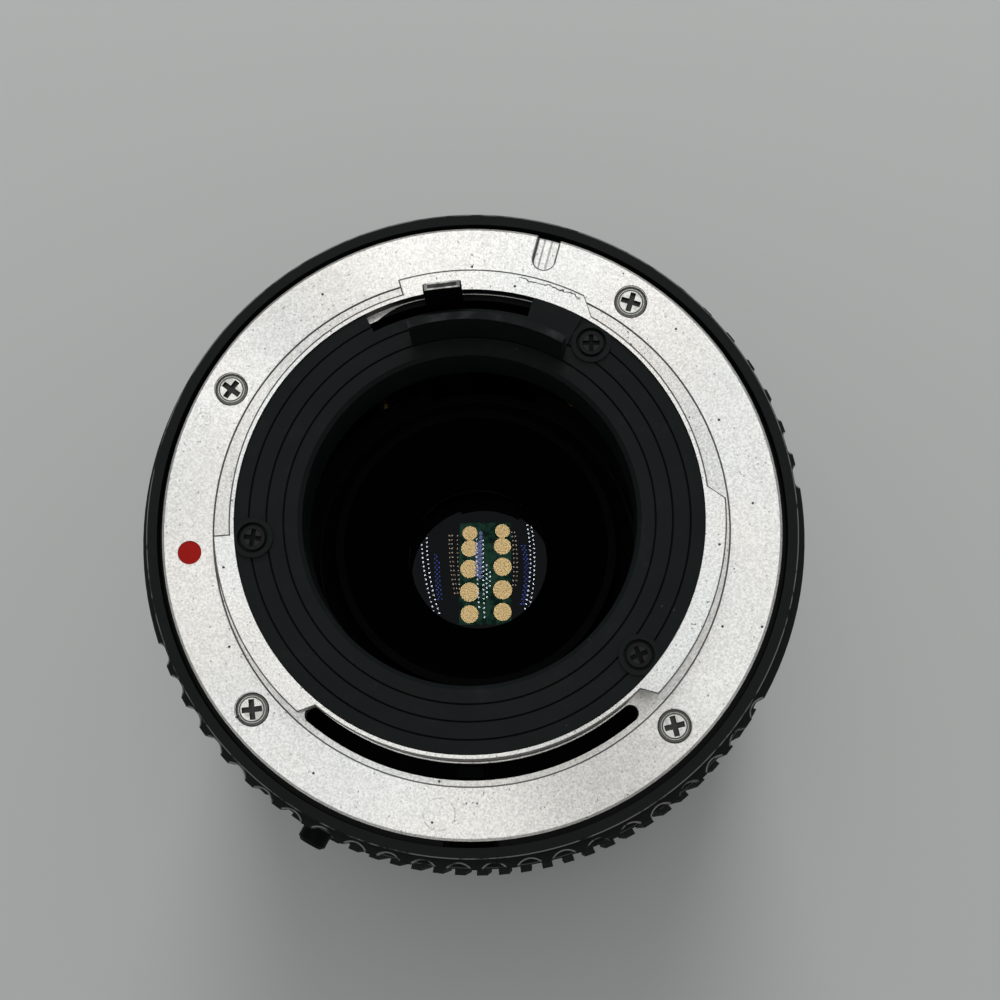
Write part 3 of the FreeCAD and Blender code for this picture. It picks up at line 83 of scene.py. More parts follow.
class Paint:
    spotEdge = 0.4  # soft edge of a round mark, as a share of its size
    chanceEdge = 0.01

    def __init__(self, name):
        self.material = bpy.data.materials.new(name)
        self.material.use_nodes = True
        self.tree = self.material.node_tree
        self.tree.nodes.clear()
        self.output = self.tree.nodes.new("ShaderNodeOutputMaterial")
        self.surface = self.tree.nodes.new("ShaderNodeBsdfPrincipled")
        self.tree.links.new(self.surface.outputs[0], self.output.inputs["Surface"])

    def put(self, socket, value):
        if isinstance(value, Wire):
            self.tree.links.new(value.socket, socket)
        elif value is not None:
            socket.default_value = value

    def add(self, kind, settings=None, values=None, out=0):
        node = self.tree.nodes.new(kind)
        for key, value in (settings or {}).items():
            setattr(node, key, value)
        for key, value in (values or {}).items():
            self.put(node.inputs[key], value)
        return Wire(self, node.outputs[out])

    def maths(self, operation, first, second=None):
        return self.add("ShaderNodeMath", {"operation": operation}, {0: first, 1: second})

    def feed(self, **values):
        for key, value in values.items():
            self.put(self.surface.inputs[key.replace("_", " ")], value)

    def spot(self):
        return self.add("ShaderNodeTexCoord", out="Object")

    def place(self, wanted):  # names out of spot, x, y, z, radius and angle, in millimetres and turns
        found = {"spot": self.spot()}
        parts = self.add("ShaderNodeSeparateXYZ", values={0: found["spot"]}).socket.node
        for i, axis in enumerate("xyz"):
            found[axis] = Wire(self, parts.outputs[i]) / mm
        found["radius"] = length(found["x"], found["y"])
        found["angle"] = self.maths("ARCTAN2", found["y"], found["x"]) / math.tau
        return [found[name] for name in wanted.split()]

    def noise(self, spot, scale, detail=2.0, rough=0.5):
        values = {"Vector": spot, "Scale": scale, "Detail": detail, "Roughness": rough}
        return self.add("ShaderNodeTexNoise", {}, values)

    def clouds(self, spot, noise, step):  # 0 where the noise is below the step, 1 above it
        return self.soften(self.noise(spot, *noise), *step)

    def stretched(self, parts, stretch, detail, rough):  # noise drawn out into lines
        longer = [part * factor for part, factor in zip(parts, stretch)]
        joined = self.add("ShaderNodeCombineXYZ", {}, dict(enumerate(longer)))
        return self.noise(joined, 1.0, detail, rough)

    def fold(self, operation, wires):
        found = wires[0]
        for wire in wires[1:]:
            found = self.maths(operation, found, wire)
        return found

    def largest(self, *wires):
        return self.fold("MAXIMUM", wires)

    def smallest(self, *wires):
        return self.fold("MINIMUM", wires)

    def apart(self, first, second):  # distance between two values
        return self.maths("ABSOLUTE", first - second)

    def spots(self, spot, scale, size, share, dimensions="3D"):  # small round marks in a share of the cells
        settings = {"feature": "F1", "voronoi_dimensions": dimensions}
        values = {"Vector": spot, "Scale": scale, "Randomness": 1.0}
        cells = self.add("ShaderNodeTexVoronoi", settings, values)
        chance = self.add("ShaderNodeSeparateColor", {}, {0: Wire(self, cells.socket.node.outputs["Color"])})
        near = self.soften(cells, size, size * self.spotEdge)
        return (1.0 - near) * (1.0 - self.soften(chance, share, self.chanceEdge))

    def line(self, value, middle, half, edge):  # 1 within half of the middle, 0 beyond
        return 1.0 - self.soften(self.apart(value, middle), half, edge)

    def soften(self, value, start, width):  # 0 below the start, 1 above start + width
        settings = {"interpolation_type": "SMOOTHSTEP"}
        values = {"Value": value, "From Min": start, "From Max": start + width}
        return self.add("ShaderNodeMapRange", settings, values)

    def blend(self, share, first, second):
        settings = {"data_type": "RGBA"}
        return self.add("ShaderNodeMix", settings, {0: share, 6: first, 7: second}, out=2)

    def grey(self, value, tint):
        return self.add("ShaderNodeCombineColor", {}, {i: value * tint[i] for i in range(3)})

    def bump(self, height, distance, under=None):
        values = {"Height": height, "Distance": distance, "Strength": 1.0, "Normal": under}
        return self.add("ShaderNodeBump", {}, values)

    def finish(self, look, tone, grain, rougher=0.0, height=None, **others):  # what most materials share
        roughness = look["roughness"] + (grain - 0.5) * look["roughen"] + rougher
        normal = self.bump(grain if height is None else height, look["depth"])
        others.setdefault("Specular_IOR_Level", look["specular"])
        self.feed(Base_Color=tone, Roughness=roughness, Normal=normal, **others)
        return self.material


def colour(base, level=1.0):
    return tuple(part * level for part in base) + (1.0,)


def length(first, second):
    return (first * first + second * second) ** 0.5


def reachFrom(x, y, radius, degrees):  # distance from the point at this radius and angle
    turn = math.radians(degrees)
    return length(x - radius * math.cos(turn), y - radius * math.sin(turn))


def turnedTo(x, y, degrees):  # how far out and how far sideways, seen along this angle
    turn = math.radians(degrees)
    return x * math.cos(turn) + y * math.sin(turn), y * math.cos(turn) - x * math.sin(turn)


# In the dictionaries below a step is start and width, a band is middle, half width and edge, a noise is
# scale, detail and roughness, clouds are a noise and its step, lines are a stretch, detail and roughness,
# and marks are scale, size and share. Lengths are in millimetres, angles in degrees, depths in metres.
fullTurn = 360.0

# metals of the mount
mountLook = {
    "cool": (0.785, 0.80, 0.80), "warm": (0.815, 0.80, 0.775), "tintClouds": ((45.0, 2.0), (0.38, 0.24)),
    "roughness": 0.34, "roughen": 0.24, "rougher": (0.25, 0.1, 0.3), "specular": 0.06,
    "levels": {"base": 0.70, "grain": 0.28, "sparkle": 0.29, "cloud": 0.12, "turned": 0.25},
    "grainNoise": (4300.0, 3.0, 0.7), "cloudNoise": (85.0, 3.0, 0.5),
    "sparkleClouds": ((4900.0, 2.0, 0.6), (0.34, 0.32)), "turnedLines": ((9.0, 7.0, 0.02), 3.0, 0.7),
    "turnedStep": (27.0, 2.0), "turnedClouds": ((70.0, 1.0), (0.5, 0.2)), "turnedShares": (0.6, 0.5),
    "depth": 0.000009, "turnedHeight": 0.8, "markHeight": 2.0, "outerRim": (29.62, 0.06),
    # the side walls and the floor of the step are given painted shade
    "wallFoot": (76.04, 0.04), "wallTop": (80.90, 0.06), "wallRadius": (22.2, 0.1), "wallShade": 0.42,
    "stepFloor": (75.85, 0.04, 0.03), "stepShade": 0.09,
    # black paint inside the tube
    "paint": (0.004, 0.0045, 0.0045), "paintTop": (80.9, 0.05), "paintEdge": (22.05, 0.03),
    "ledgeEdge": (22.04, 0.02), "ledgeBand": (79.4, 0.06, 0.02), "ledgeWidths": (0.07, 0.72),
    "wornStep": (103.0, 14.5),
    # outline of tube and tabs on the top face, along which a painted shade line runs, a tab is start, end and
    # how much either end leans
    "tubeRadius": 22.5, "tabRadius": 24.0, "rootRadius": 22.3,
    "tabs": [(63.0, 106.6, 4.5, 0.0), (-176.0, -131.0, 0.0, 2.4), (-43.4, 4.1, 2.4, 3.6)],
    "topFace": (80.8, 0.08), "edgeStep": (0.085, 0.08), "edgeNoise": (900.0, 3.0, 0.6),
    "outlineShadeLevels": (0.70, 0.3),
    # notch of the lock pin
    "notchAngle": 75.05, "notchRadius": 27.5, "notchRim": (74.7, 0.1), "notchOutline": (1.1, 0.05, 0.09),
    "notchInside": (1.1, 0.05), "notchFloor": (75.0, 0.05, 0.05), "notchMouth": (-1.4, 0.1),
    "cutterLines": [((0.42, 0.04, 0.07), 1.0), ((-0.28, 0.05, 0.1), 0.8)],
    "notchShares": (0.8, 0.45),
    # other marks on the metal, and a painted shade line in the crease of the flange step
    "shares": {"step": 0.75, "pits": 0.9, "specks": 0.4, "scuff": 0.8},
    "stepShadeRing": (24.8, 0.035, 0.05), "stepRingHeight": (75.92, 0.1, 0.05), "scuffBand": (0.42, 0.02, 0.05),
    "scuffWander": 0.9, "scuffAngles": (71.0, 6.5, 1.5), "crowdClouds": ((210.0, 2.0), (0.46, 0.16)),
    "crowdLevels": (0.6, 0.45), "pitNoise": (2600.0, 3.0, 0.62), "pitStep": (0.70, 0.03),
    "pitMarks": (260.0, 0.026, 0.26, "2D"), "speckClouds": ((5200.0, 2.0, 0.6), (0.66, 0.05)),
    "speckMarks": (640.0, 0.045, 0.30, "2D"),
    "circles": [(-26.05, 10.55, 0.72, 0.16), (-2.9, -27.31, 1.5, 0.3)],
    "circleClouds": ((1500.0, 2.0), (0.47, 0.05)), "circleLine": (0.03, 0.08), "circleFace": (75.7, 0.1),
    # patches of painted shade and painted highlight on the flange, angle and gain
    "paintedLightPatches": [(128.0, -0.17), (172.0, -0.12), (211.0, -0.05), (262.0, 0.10), (300.0, -0.22), (40.0, -0.07)],
    "patchRadius": 27.0, "patchStep": (1.5, 11.0),
}


def mountPaint(paint, z, radius, angle):  # black paint inside the tube, worn off the ledge at one end
    share = paint.soften(angle * fullTurn, *mountLook["wornStep"])
    narrow, wider = mountLook["ledgeWidths"]
    strip = narrow + share * share * wider
    ledge = paint.soften(radius + strip, *mountLook["ledgeEdge"]) * paint.line(z, *mountLook["ledgeBand"])
    inside = 1.0 - paint.soften(radius, *mountLook["paintEdge"])
    return inside * (1.0 - paint.soften(z, *mountLook["paintTop"])) * (1.0 - ledge)


def insideEdge(paint, radius, angle):  # how far a point lies inside the outline of tube and tabs
    look = mountLook
    inside = look["tubeRadius"] - radius
    fall = (look["tabRadius"] - radius) / (look["tabRadius"] - look["rootRadius"])
    arc = radius * math.tau
    for start, end, rampIn, rampOut in look["tabs"]:
        after = (angle - start / fullTurn + fall * (rampIn / fullTurn)) * arc
        before = (end / fullTurn + fall * (rampOut / fullTurn) - angle) * arc
        tab = paint.smallest(after, before, look["tabRadius"] - radius)
        inside = paint.largest(inside, tab)
    return inside


def notchMarks(paint, x, y, z):  # dark outline and cutter lines of the lock pin's notch
    look = mountLook
    outward, sideways = turnedTo(x, y, look["notchAngle"])
    outward = outward - look["notchRadius"]
    reach = length(paint.smallest(outward, 0.0), sideways)
    outline = paint.line(reach, *look["notchOutline"]) * paint.soften(z, *look["notchRim"])
    cutter = paint.largest(*[paint.line(sideways, *band) * share for band, share in look["cutterLines"]])
    floor = paint.line(z, *look["notchFloor"]) * (1.0 - paint.soften(reach, *look["notchInside"]))
    outlineShare, cutterShare = look["notchShares"]
    marks = paint.largest(outline * outlineShare, cutter * floor * cutterShare)
    return marks * paint.soften(outward, *look["notchMouth"])


def mountMarks(paint, spot, x, y, z, radius, angle):  # dark outlines, pits, a scuff and faint circles
    look = mountLook
    # painted shade: a dark line in the crease of the flange step at R24.8
    step = paint.line(radius, *look["stepShadeRing"]) * paint.line(z, *look["stepRingHeight"])
    inside = insideEdge(paint, radius, angle)
    topFace = paint.soften(z, *look["topFace"])
    rough = paint.noise(spot, *look["edgeNoise"])
    least, gain = look["outlineShadeLevels"]
    # painted shade: a dark line on the top face along the edge of the tube and tabs
    outline = (1.0 - paint.soften(inside, *look["edgeStep"])) * topFace * (least + rough * gain)
    scuff = paint.line(inside + (rough - 0.5) * look["scuffWander"], *look["scuffBand"]) * topFace
    scuff = scuff * paint.line(angle * fullTurn, *look["scuffAngles"])
    least, gain = look["crowdLevels"]
    crowd = least + paint.clouds(spot, *look["crowdClouds"]) * gain
    pits = paint.soften(paint.noise(spot, *look["pitNoise"]) * crowd, *look["pitStep"])
    pits = paint.largest(pits, paint.spots(spot, *look["pitMarks"]))
    specks = paint.clouds(spot, *look["speckClouds"])
    specks = paint.largest(specks, paint.spots(spot, *look["speckMarks"]))
    found = {"step": step, "pits": pits, "specks": specks, "scuff": scuff}
    marks = [outline, notchMarks(paint, x, y, z)]
    marks += [found[name] * share for name, share in look["shares"].items()]
    drawn = paint.clouds(spot, *look["circleClouds"]) * paint.soften(z, *look["circleFace"])
    for across, along, size, strength in look["circles"]:
        ring = paint.line(length(x - across, y - along), size, *look["circleLine"])
        marks.append(ring * drawn * strength)
    return paint.largest(*marks)


def flangePatches(paint, x, y):  # broad patches of painted shade and painted highlight on the flange
    level = 1.0
    for degrees, gain in mountLook["paintedLightPatches"]:
        reach = reachFrom(x, y, mountLook["patchRadius"], degrees)
        level = level + (1.0 - paint.soften(reach, *mountLook["patchStep"])) * gain
    return level


def paintMountMetal():
    look = mountLook
    paint = Paint("mountMetal")
    spot, x, y, z, radius, angle = paint.place("spot x y z radius angle")
    grain = paint.noise(spot, *look["grainNoise"])
    cloud = paint.noise(spot, *look["cloudNoise"])
    sparkle = paint.clouds(spot, *look["sparkleClouds"])
    turned = paint.stretched((radius, angle, z), *look["turnedLines"])
    outerShare, cloudShare = look["turnedShares"]
    turnedShare = paint.soften(radius, *look["turnedStep"]) * outerShare
    turnedShare = turnedShare + paint.clouds(spot, *look["turnedClouds"]) * cloudShare
    turned = (turned - 0.5) * turnedShare
    marks = mountMarks(paint, spot, x, y, z, radius, angle)
    black = mountPaint(paint, z, radius, angle)
    # painted shade: the side walls of the tube and tabs and the floor of the flange step are darkened
    walls = paint.soften(z, *look["wallFoot"]) * (1.0 - paint.soften(z, *look["wallTop"]))
    walls = walls * paint.soften(radius, *look["wallRadius"])
    stepFloor = paint.line(z, *look["stepFloor"])
    shade = 1.0 - walls * look["wallShade"] - stepFloor * look["stepShade"]
    levels = look["levels"]
    level = levels["base"] + grain * levels["grain"] + sparkle * levels["sparkle"]
    level = level + (cloud - 0.5) * levels["cloud"] + turned * levels["turned"]
    # the marks bring painted shade from the outlines and the step along with real marks, the walls bring
    # painted shade, and the patches bring painted shade and highlight
    level = level * (1.0 - marks) * shade * flangePatches(paint, x, y)
    tint = paint.clouds(spot, *look["tintClouds"])
    metal = paint.blend(tint, paint.grey(level, look["cool"]), paint.grey(level, look["warm"]))
    tone = paint.blend(black, metal, colour(look["paint"]))
    markShare, paintShare, rimShare = look["rougher"]
    rougher = marks * markShare + black * paintShare + paint.soften(radius, *look["outerRim"]) * rimShare
    height = grain + turned * look["turnedHeight"] - marks * look["markHeight"]
    return paint.finish(look, tone, grain, rougher, height, Metallic=1.0 - black)


# the bevel tone is painted shade, a darker copy of the face, and the sunk tone is painted shade in the cross
# and the rings
screwLook = {
    "grainNoise": (3800.0, 3.0, 0.6), "depth": 0.000006, "stainClouds": ((1100.0, 3.0, 0.6), (0.45, 0.2)),
    "stainLevel": 0.3, "crossDepth": 0.1, "crossEdge": 0.08, "faceEdge": 0.02, "grooveLine": (0.035, 0.06),
    "bevelEdge": 0.05, "shadeShare": 0.95, "roughen": 0.3, "crossRough": 0.2,
    "mount_screws": {
        "face": (0.66, 0.66, 0.63), "shadedBevel": (0.40, 0.40, 0.385), "sunkShade": (0.03, 0.031, 0.03), "stain": 0.42,
        "roughness": 0.30, "metallic": 1.0, "specular": 0.5, "faceRadius": 1.16, "rimRadius": 1.50,
        "radius": 27.1, "angles": [54.9, 149.9, 220.25, 315.1],
    },
    "baffle_screws": {
        "face": (0.010, 0.011, 0.011), "shadedBevel": (0.0035, 0.004, 0.004), "sunkShade": (0.0006, 0.0006, 0.0006),
        "stain": 0.30, "roughness": 0.40, "metallic": 0.0, "specular": 0.15, "faceRadius": 0.86,
        "rimRadius": 1.04, "radius": 20.3, "angles": [55.4, 185.3, 320.5],
    },
}


def paintScrews(node):  # face, with painted shade on the grey bevel, in the dark rings and in the dark cross
    look = dict(screwLook, **screwLook[node])
    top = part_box(node)[1][2] / mm
    paint = Paint("screws_" + node)
    spot, x, y, z = paint.place("spot x y z")
    reach = paint.smallest(*[reachFrom(x, y, look["radius"], degrees) for degrees in look["angles"]])
    grain = paint.noise(spot, *look["grainNoise"])
    stain = paint.clouds(spot, *look["stainClouds"]) * look["stain"]
    onFace = 1.0 - paint.soften(reach, look["faceRadius"], look["faceEdge"])
    cross = (1.0 - paint.soften(z, top - look["crossDepth"], look["crossEdge"])) * onFace
    groove = paint.line(reach, look["faceRadius"], *look["grooveLine"])
    recess = paint.soften(reach, look["rimRadius"], look["bevelEdge"])
    # painted shade in the cross recess, the groove round the face and the recess round the head
    dark = paint.largest(cross, groove, recess) * look["shadeShare"]
    face = paint.blend(stain, colour(look["face"]), colour(look["face"], look["stainLevel"]))
    # painted shade on the bevel
    shadedBevel = paint.soften(reach, look["faceRadius"], look["bevelEdge"])
    tone = paint.blend(shadedBevel, face, colour(look["shadedBevel"]))
    tone = paint.blend(dark, tone, colour(look["sunkShade"]))
    return paint.finish(look, tone, grain, cross * look["crossRough"], Metallic=look["metallic"])


# blacks: the baffle's paint, the satin rings and the rubber grips
baffleLook = {
    "base": (0.0040, 0.0058, 0.0060), "worn": (0.0115, 0.0135, 0.0135), "rubbed": (0.026, 0.029, 0.029),
    "dust": (0.10, 0.10, 0.10), "dustShare": 0.5, "dustMarks": (900.0, 0.05, 0.09), "roughness": 0.50,
    "roughen": 0.2, "rubRough": -0.05, "specular": 0.08, "grainNoise": (4200.0, 3.0, 0.6),
    "depth": 0.000007, "cloudNoise": (210.0, 3.0, 0.5), "rubClouds": ((520.0, 4.0, 0.65), (0.54, 0.2)),
    "wornShares": (0.5, 0.2, 0.3), "touchClouds": ((260.0, 3.0, 0.6), (0.44, 0.2)), "touchEdge": 0.05,
    "touchDepth": 0.1,
    # level and specular of the blacks that are darker than the baffle
    "darker": {"hoodBlack": (0.15, 0.03), "buttonBlack": (0.45, 0.05), "innerBlack": (0.2, 0.02)},
}


def paintBaffleBlack(name, rubbedAbove=None):
    look = baffleLook
    level, specular = look["darker"].get(name, (1.0, look["specular"]))
    paint = Paint(name)
    spot, z = paint.place("spot z")
    grain = paint.noise(spot, *look["grainNoise"])
    cloud = paint.noise(spot, *look["cloudNoise"])
    rub = paint.clouds(spot, *look["rubClouds"])
    cloudShare, grainShare, rubShare = look["wornShares"]
    worn = cloud * cloudShare + grain * grainShare + rub * rubShare
    tone = paint.blend(worn, colour(look["base"], level), colour(look["worn"], level))
    if rubbedAbove:
        touched = paint.soften(z, rubbedAbove, look["touchEdge"])
        touched = touched * paint.clouds(spot, *look["touchClouds"])
        tone = paint.blend(touched, tone, colour(look["rubbed"]))
    dust = paint.spots(spot, *look["dustMarks"]) * (look["dustShare"] * level)
    tone = paint.blend(dust, tone, colour(look["dust"]))
    return paint.finish(look, tone, grain, rub * look["rubRough"], Specular_IOR_Level=specular)


ringLook = {
    "base": (0.0034, 0.0042, 0.0042), "worn": (0.0075, 0.0085, 0.0083), "wornShares": (0.7, 0.3),
    "bare": (0.50, 0.50, 0.49), "bareMetal": 0.9, "roughness": 0.38, "roughen": 0.2, "lineRough": 0.12,
    "specular": 0.09, "edgeStep": (0.035, 0.07), "grainNoise": (3600.0, 3.0, 0.6), "grainHeight": 0.5,
    "turnedLines": ((11.0, 3.0, 11.0), 2.0, 0.6), "depth": 0.000005, "cloudNoise": (160.0, 2.0),
    "chipClouds": ((420.0, 3.0, 0.7), (0.36, 0.16)),
}
scallopLook = {  # a group is the angles of its ends and the pitch of its scallops
    "groups": [(7.66, 141.2, 6.159), (-160.6, -29.9, 6.0238)],
    "groupEdge": (0.8, 0.1), "halfAngle": 2.1, "middle": 33.416, "arcBand": (1.566, 0.04, 0.06),
    "heightBand": (71.8, 0.03, 0.03), "strength": 0.38,
}


def scallopArcs(paint, z, radius, angle):  # thin line round each scallop of the aperture ring, rubbed bare and also a painted highlight
    arcs = []
    for start, end, degrees in scallopLook["groups"]:
        pitch = degrees / fullTurn
        first = (start + scallopLook["halfAngle"]) / fullTurn
        turn = (paint.maths("FLOORED_MODULO", angle - (first - pitch / 2.0), pitch) - pitch / 2.0) * math.tau
        across = radius * (1.0 - turn * turn * 0.5) - scallopLook["middle"]
        past, edge = scallopLook["groupEdge"]
        inGroup = paint.line(angle * fullTurn, (start + end) / 2.0, (end - start) / 2.0 + past, edge)
        arcs.append(paint.line(length(across, radius * turn), *scallopLook["arcBand"]) * inGroup)
    return paint.largest(*arcs) * paint.line(z, *scallopLook["heightBand"]) * scallopLook["strength"]


def paintRingBlack(name, edges, scallops=False):
    paint = Paint(name)
    spot, z, radius, angle = paint.place("spot z radius angle")
    grain = paint.noise(spot, *ringLook["grainNoise"])
    lines = paint.stretched((radius, angle, z), *ringLook["turnedLines"])
    cloud = paint.noise(spot, *ringLook["cloudNoise"])
    cloudShare, lineShare = ringLook["wornShares"]
    worn = cloud * cloudShare + (lines - 0.5) * lineShare
    tone = paint.blend(worn, colour(ringLook["base"]), colour(ringLook["worn"]))
    bare = []
    for edgeRadius, edgeHeight, strength in edges:
        reach = length(radius - edgeRadius, z - edgeHeight)
        bare.append((1.0 - paint.soften(reach, *ringLook["edgeStep"])) * strength)
    if scallops:
        bare.append(scallopArcs(paint, z, radius, angle))
    if bare:
        # edges worn bare, which also carry a painted highlight along the corners and scallops
        wornAndLitEdges = paint.largest(*bare) * paint.clouds(spot, *ringLook["chipClouds"])
        tone = paint.blend(wornAndLitEdges, tone, colour(ringLook["bare"]))
        paint.feed(Metallic=wornAndLitEdges * ringLook["bareMetal"])
    height = grain * ringLook["grainHeight"] + lines
    return paint.finish(ringLook, tone, grain, (lines - 0.5) * ringLook["lineRough"], height)


leverLook = {
    "paint": (0.003, 0.0035, 0.0035), "bare": (0.46, 0.46, 0.44), "dull": (0.10, 0.10, 0.095),
    "dullClouds": ((1300.0, 2.0), (0.42, 0.2)), "dullShare": 0.6, "angle": 96.5, "middle": 20.775,
    "faceStep": (0.15, 0.08), "sideStep": (1.30, 0.2), "rimLevels": (0.1, 0.9),
    "rubLines": ((0.9, 0.9, 3.0), 3.0, 0.6), "rubWander": 0.2, "wornBelow": 0.14, "wornEdge": 0.06,
    "roughness": 0.40, "roughen": 0.3, "wornRough": -0.08, "specular": 0.05,
    "grainNoise": (3300.0, 3.0, 0.6), "depth": 0.000006,
}


def paintLever():  # black lever, its tab rubbed bright along the top
    look = leverLook
    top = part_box("stop_down_lever")[1][2] / mm
    paint = Paint("leverBlack")
    spot, x, y, z = paint.place("spot x y z")
    grain = paint.noise(spot, *look["grainNoise"])
    rub = paint.stretched((x, y, z), *look["rubLines"])
    outward, sideways = turnedTo(x, y, look["angle"])
    rim = paint.largest(paint.soften(paint.apart(outward, look["middle"]), *look["faceStep"]),
                        paint.soften(paint.apart(sideways, 0.0), *look["sideStep"]))
    least, gain = look["rimLevels"]
    height = z + (rub - 0.5) * look["rubWander"]
    worn = paint.soften(height, top - look["wornBelow"], look["wornEdge"]) * (rim * gain + least)
    dull = paint.clouds(spot, *look["dullClouds"]) * look["dullShare"]
    bare = paint.blend(dull, colour(look["bare"]), colour(look["dull"]))
    tone = paint.blend(worn, colour(look["paint"]), bare)
    return paint.finish(look, tone, grain, worn * look["wornRough"], Metallic=worn)


rubberLook = {
    "base": (0.010, 0.0105, 0.011), "faded": (0.022, 0.022, 0.022),
    "fadedClouds": ((190.0, 4.0, 0.6), (0.45, 0.35)), "fadedShare": 0.35, "dust": (0.075, 0.075, 0.07),
    "dustMarks": (1400.0, 0.07, 0.06), "dustShare": 0.6, "roughness": 0.72, "roughen": 0.25,
    "specular": 0.3, "grainNoise": (2600.0, 4.0, 0.65), "depth": 0.00002,
}


def paintRubber():
    look = rubberLook
    paint = Paint("gripRubber")
    spot = paint.spot()
    grain = paint.noise(spot, *look["grainNoise"])
    faded = paint.clouds(spot, *look["fadedClouds"]) * look["fadedShare"]
    dust = paint.spots(spot, *look["dustMarks"]) * look["dustShare"]
    tone = paint.blend(faded, colour(look["base"]), colour(look["faded"]))
    return paint.finish(look, paint.blend(dust, tone, colour(look["dust"])), grain)


frontCellLook = {
    "worn": (0.014, 0.015, 0.015), "wornShare": 0.6, "roughness": 0.38, "roughen": 0.2, "specular": 0.3,
    "grainNoise": (3600.0, 3.0, 0.6), "depth": 0.000005, "threadPitch": 0.75, "threadDepth": 0.00044,
    "threadBore": (25.65, 0.05), "threadEnd": (4.3, 0.2),
}


def paintFrontCell():  # satin black with the filter thread's turns inside the rim
    look = frontCellLook
    paint = Paint("frontCellBlack")
    spot, z, radius, angle = paint.place("spot z radius angle")
    grain = paint.noise(spot, *look["grainNoise"])
    inThread = 1.0 - paint.soften(radius, *look["threadBore"])
    inThread = inThread * (1.0 - paint.soften(z, *look["threadEnd"]))
    wave = paint.maths("PINGPONG", z / look["threadPitch"] - angle, 0.5) * inThread
    worn = grain * look["wornShare"]
    paint.feed(Base_Color=paint.blend(worn, colour(ringLook["base"]), colour(look["worn"])))
    paint.feed(Roughness=look["roughness"] + (grain - 0.5) * look["roughen"])
    paint.feed(Specular_IOR_Level=look["specular"])
    fine = paint.bump(grain, look["depth"])
    paint.feed(Normal=paint.bump(wave, look["threadDepth"], fine))
    return paint.material


# turned inner metals, inks and glass
turnedLook = {
    "lines": ((7.0, 4.0, 7.0), 3.0, 0.65), "depth": 0.000008, "grainNoise": (2400.0, 3.0),
    "darkLevel": 0.86, "roughen": 0.25, "specular": 0.5,
    "steelBright": {"base": (0.62, 0.62, 0.60), "roughness": 0.28},
    "brassPins": {"base": (0.72, 0.53, 0.24), "roughness": 0.30},
    "aluminiumTurned": {"base": (0.74, 0.74, 0.74), "roughness": 0.34},
    "bladeSteel": {"base": (0.045, 0.047, 0.05), "roughness": 0.34},
}


def paintTurnedMetal(name):
    look = dict(turnedLook, **turnedLook[name])
    paint = Paint(name)
    spot, z, radius, angle = paint.place("spot z radius angle")
    lines = paint.stretched((radius, angle, z), *look["lines"])
    grain = paint.noise(spot, *look["grainNoise"])
    tone = paint.blend(lines, colour(look["base"], look["darkLevel"]), colour(look["base"]))
    return paint.finish(look, tone, grain, height=lines, Metallic=1.0)


inkLook = {
    "inkWhite": (0.78, 0.78, 0.74), "inkOrange": (0.80, 0.30, 0.05), "wornLevel": 0.72,
    "wornClouds": ((1500.0, 3.0, 0.6), (0.30, 0.25)), "depth": 0.000004, "roughness": 0.5, "roughen": 0.1,
    "specular": 0.5,
}


def paintInk(name):
    paint = Paint(name)
    base = inkLook[name]
    worn = paint.clouds(paint.spot(), *inkLook["wornClouds"])
    return paint.finish(inkLook, paint.blend(worn, colour(base, inkLook["wornLevel"]), colour(base)), worn)


dotLook = {"dark": (0.28, 0.0046, 0.0023), "light": (0.36, 0.0070, 0.0036), "cloudNoise": (700.0, 2.0),
           "roughness": 0.42, "roughen": 0.2, "specular": 0.08, "grainNoise": (2600.0, 3.0, 0.6),
           "depth": 0.000006}


def paintDot():
    paint = Paint("dotRed")
    spot = paint.spot()
    grain = paint.noise(spot, *dotLook["grainNoise"])
    cloud = paint.noise(spot, *dotLook["cloudNoise"])
    return paint.finish(dotLook, paint.blend(cloud, colour(dotLook["dark"]), colour(dotLook["light"])), grain)


glassLook = {"clear": (0.40, 0.47, 0.50), "deepShade": (0.0165, 0.0175, 0.0190), "edge": (0.004, 0.004, 0.004),
             "edgeWidth": 0.4, "roughness": 0.006, "hazeMarks": (900.0, 0.04, 0.05), "hazeRoughness": 0.25,
             "hazeDepth": 0.000002, "refraction": 1.52}


def paintGlass(name, tint, clearRadius, coated):  # share of a dark mirror on the glass, painted shade for the dark inside of the lens behind it
    look = glassLook
    paint = Paint(name)
    spot, radius = paint.place("spot radius")
    haze = paint.spots(spot, *look["hazeMarks"])
    edge = paint.soften(radius, clearRadius - look["edgeWidth"], look["edgeWidth"])
    # painted shade: the darker tone stands for the unlit lens seen through the glass
    clear = colour(look["deepShade" if coated else "clear"])
    paint.feed(Base_Color=paint.blend(edge, clear, colour(look["edge"])))
    paint.feed(Roughness=look["roughness"] + haze * look["hazeRoughness"])
    paint.feed(Transmission_Weight=1.0, IOR=look["refraction"], Metallic=coated)
    paint.feed(Specular_Tint=colour(tint))
    paint.feed(Normal=paint.bump(haze, look["hazeDepth"]))
    return paint.material


print("materials")
mountMetal = paintMountMetal()
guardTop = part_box("rear_baffle")[1][2] / mm
baffleBlack = paintBaffleBlack("baffleBlack", rubbedAbove=guardTop - baffleLook["touchDepth"])
trimBlack = paintBaffleBlack("trimBlack")
hoodBlack = paintBaffleBlack("hoodBlack")
rubber = paintRubber()
steel = paintTurnedMetal("steelBright")
brass = paintTurnedMetal("brassPins")
aluminium = paintTurnedMetal("aluminiumTurned")
bladeSteel = paintTurnedMetal("bladeSteel")

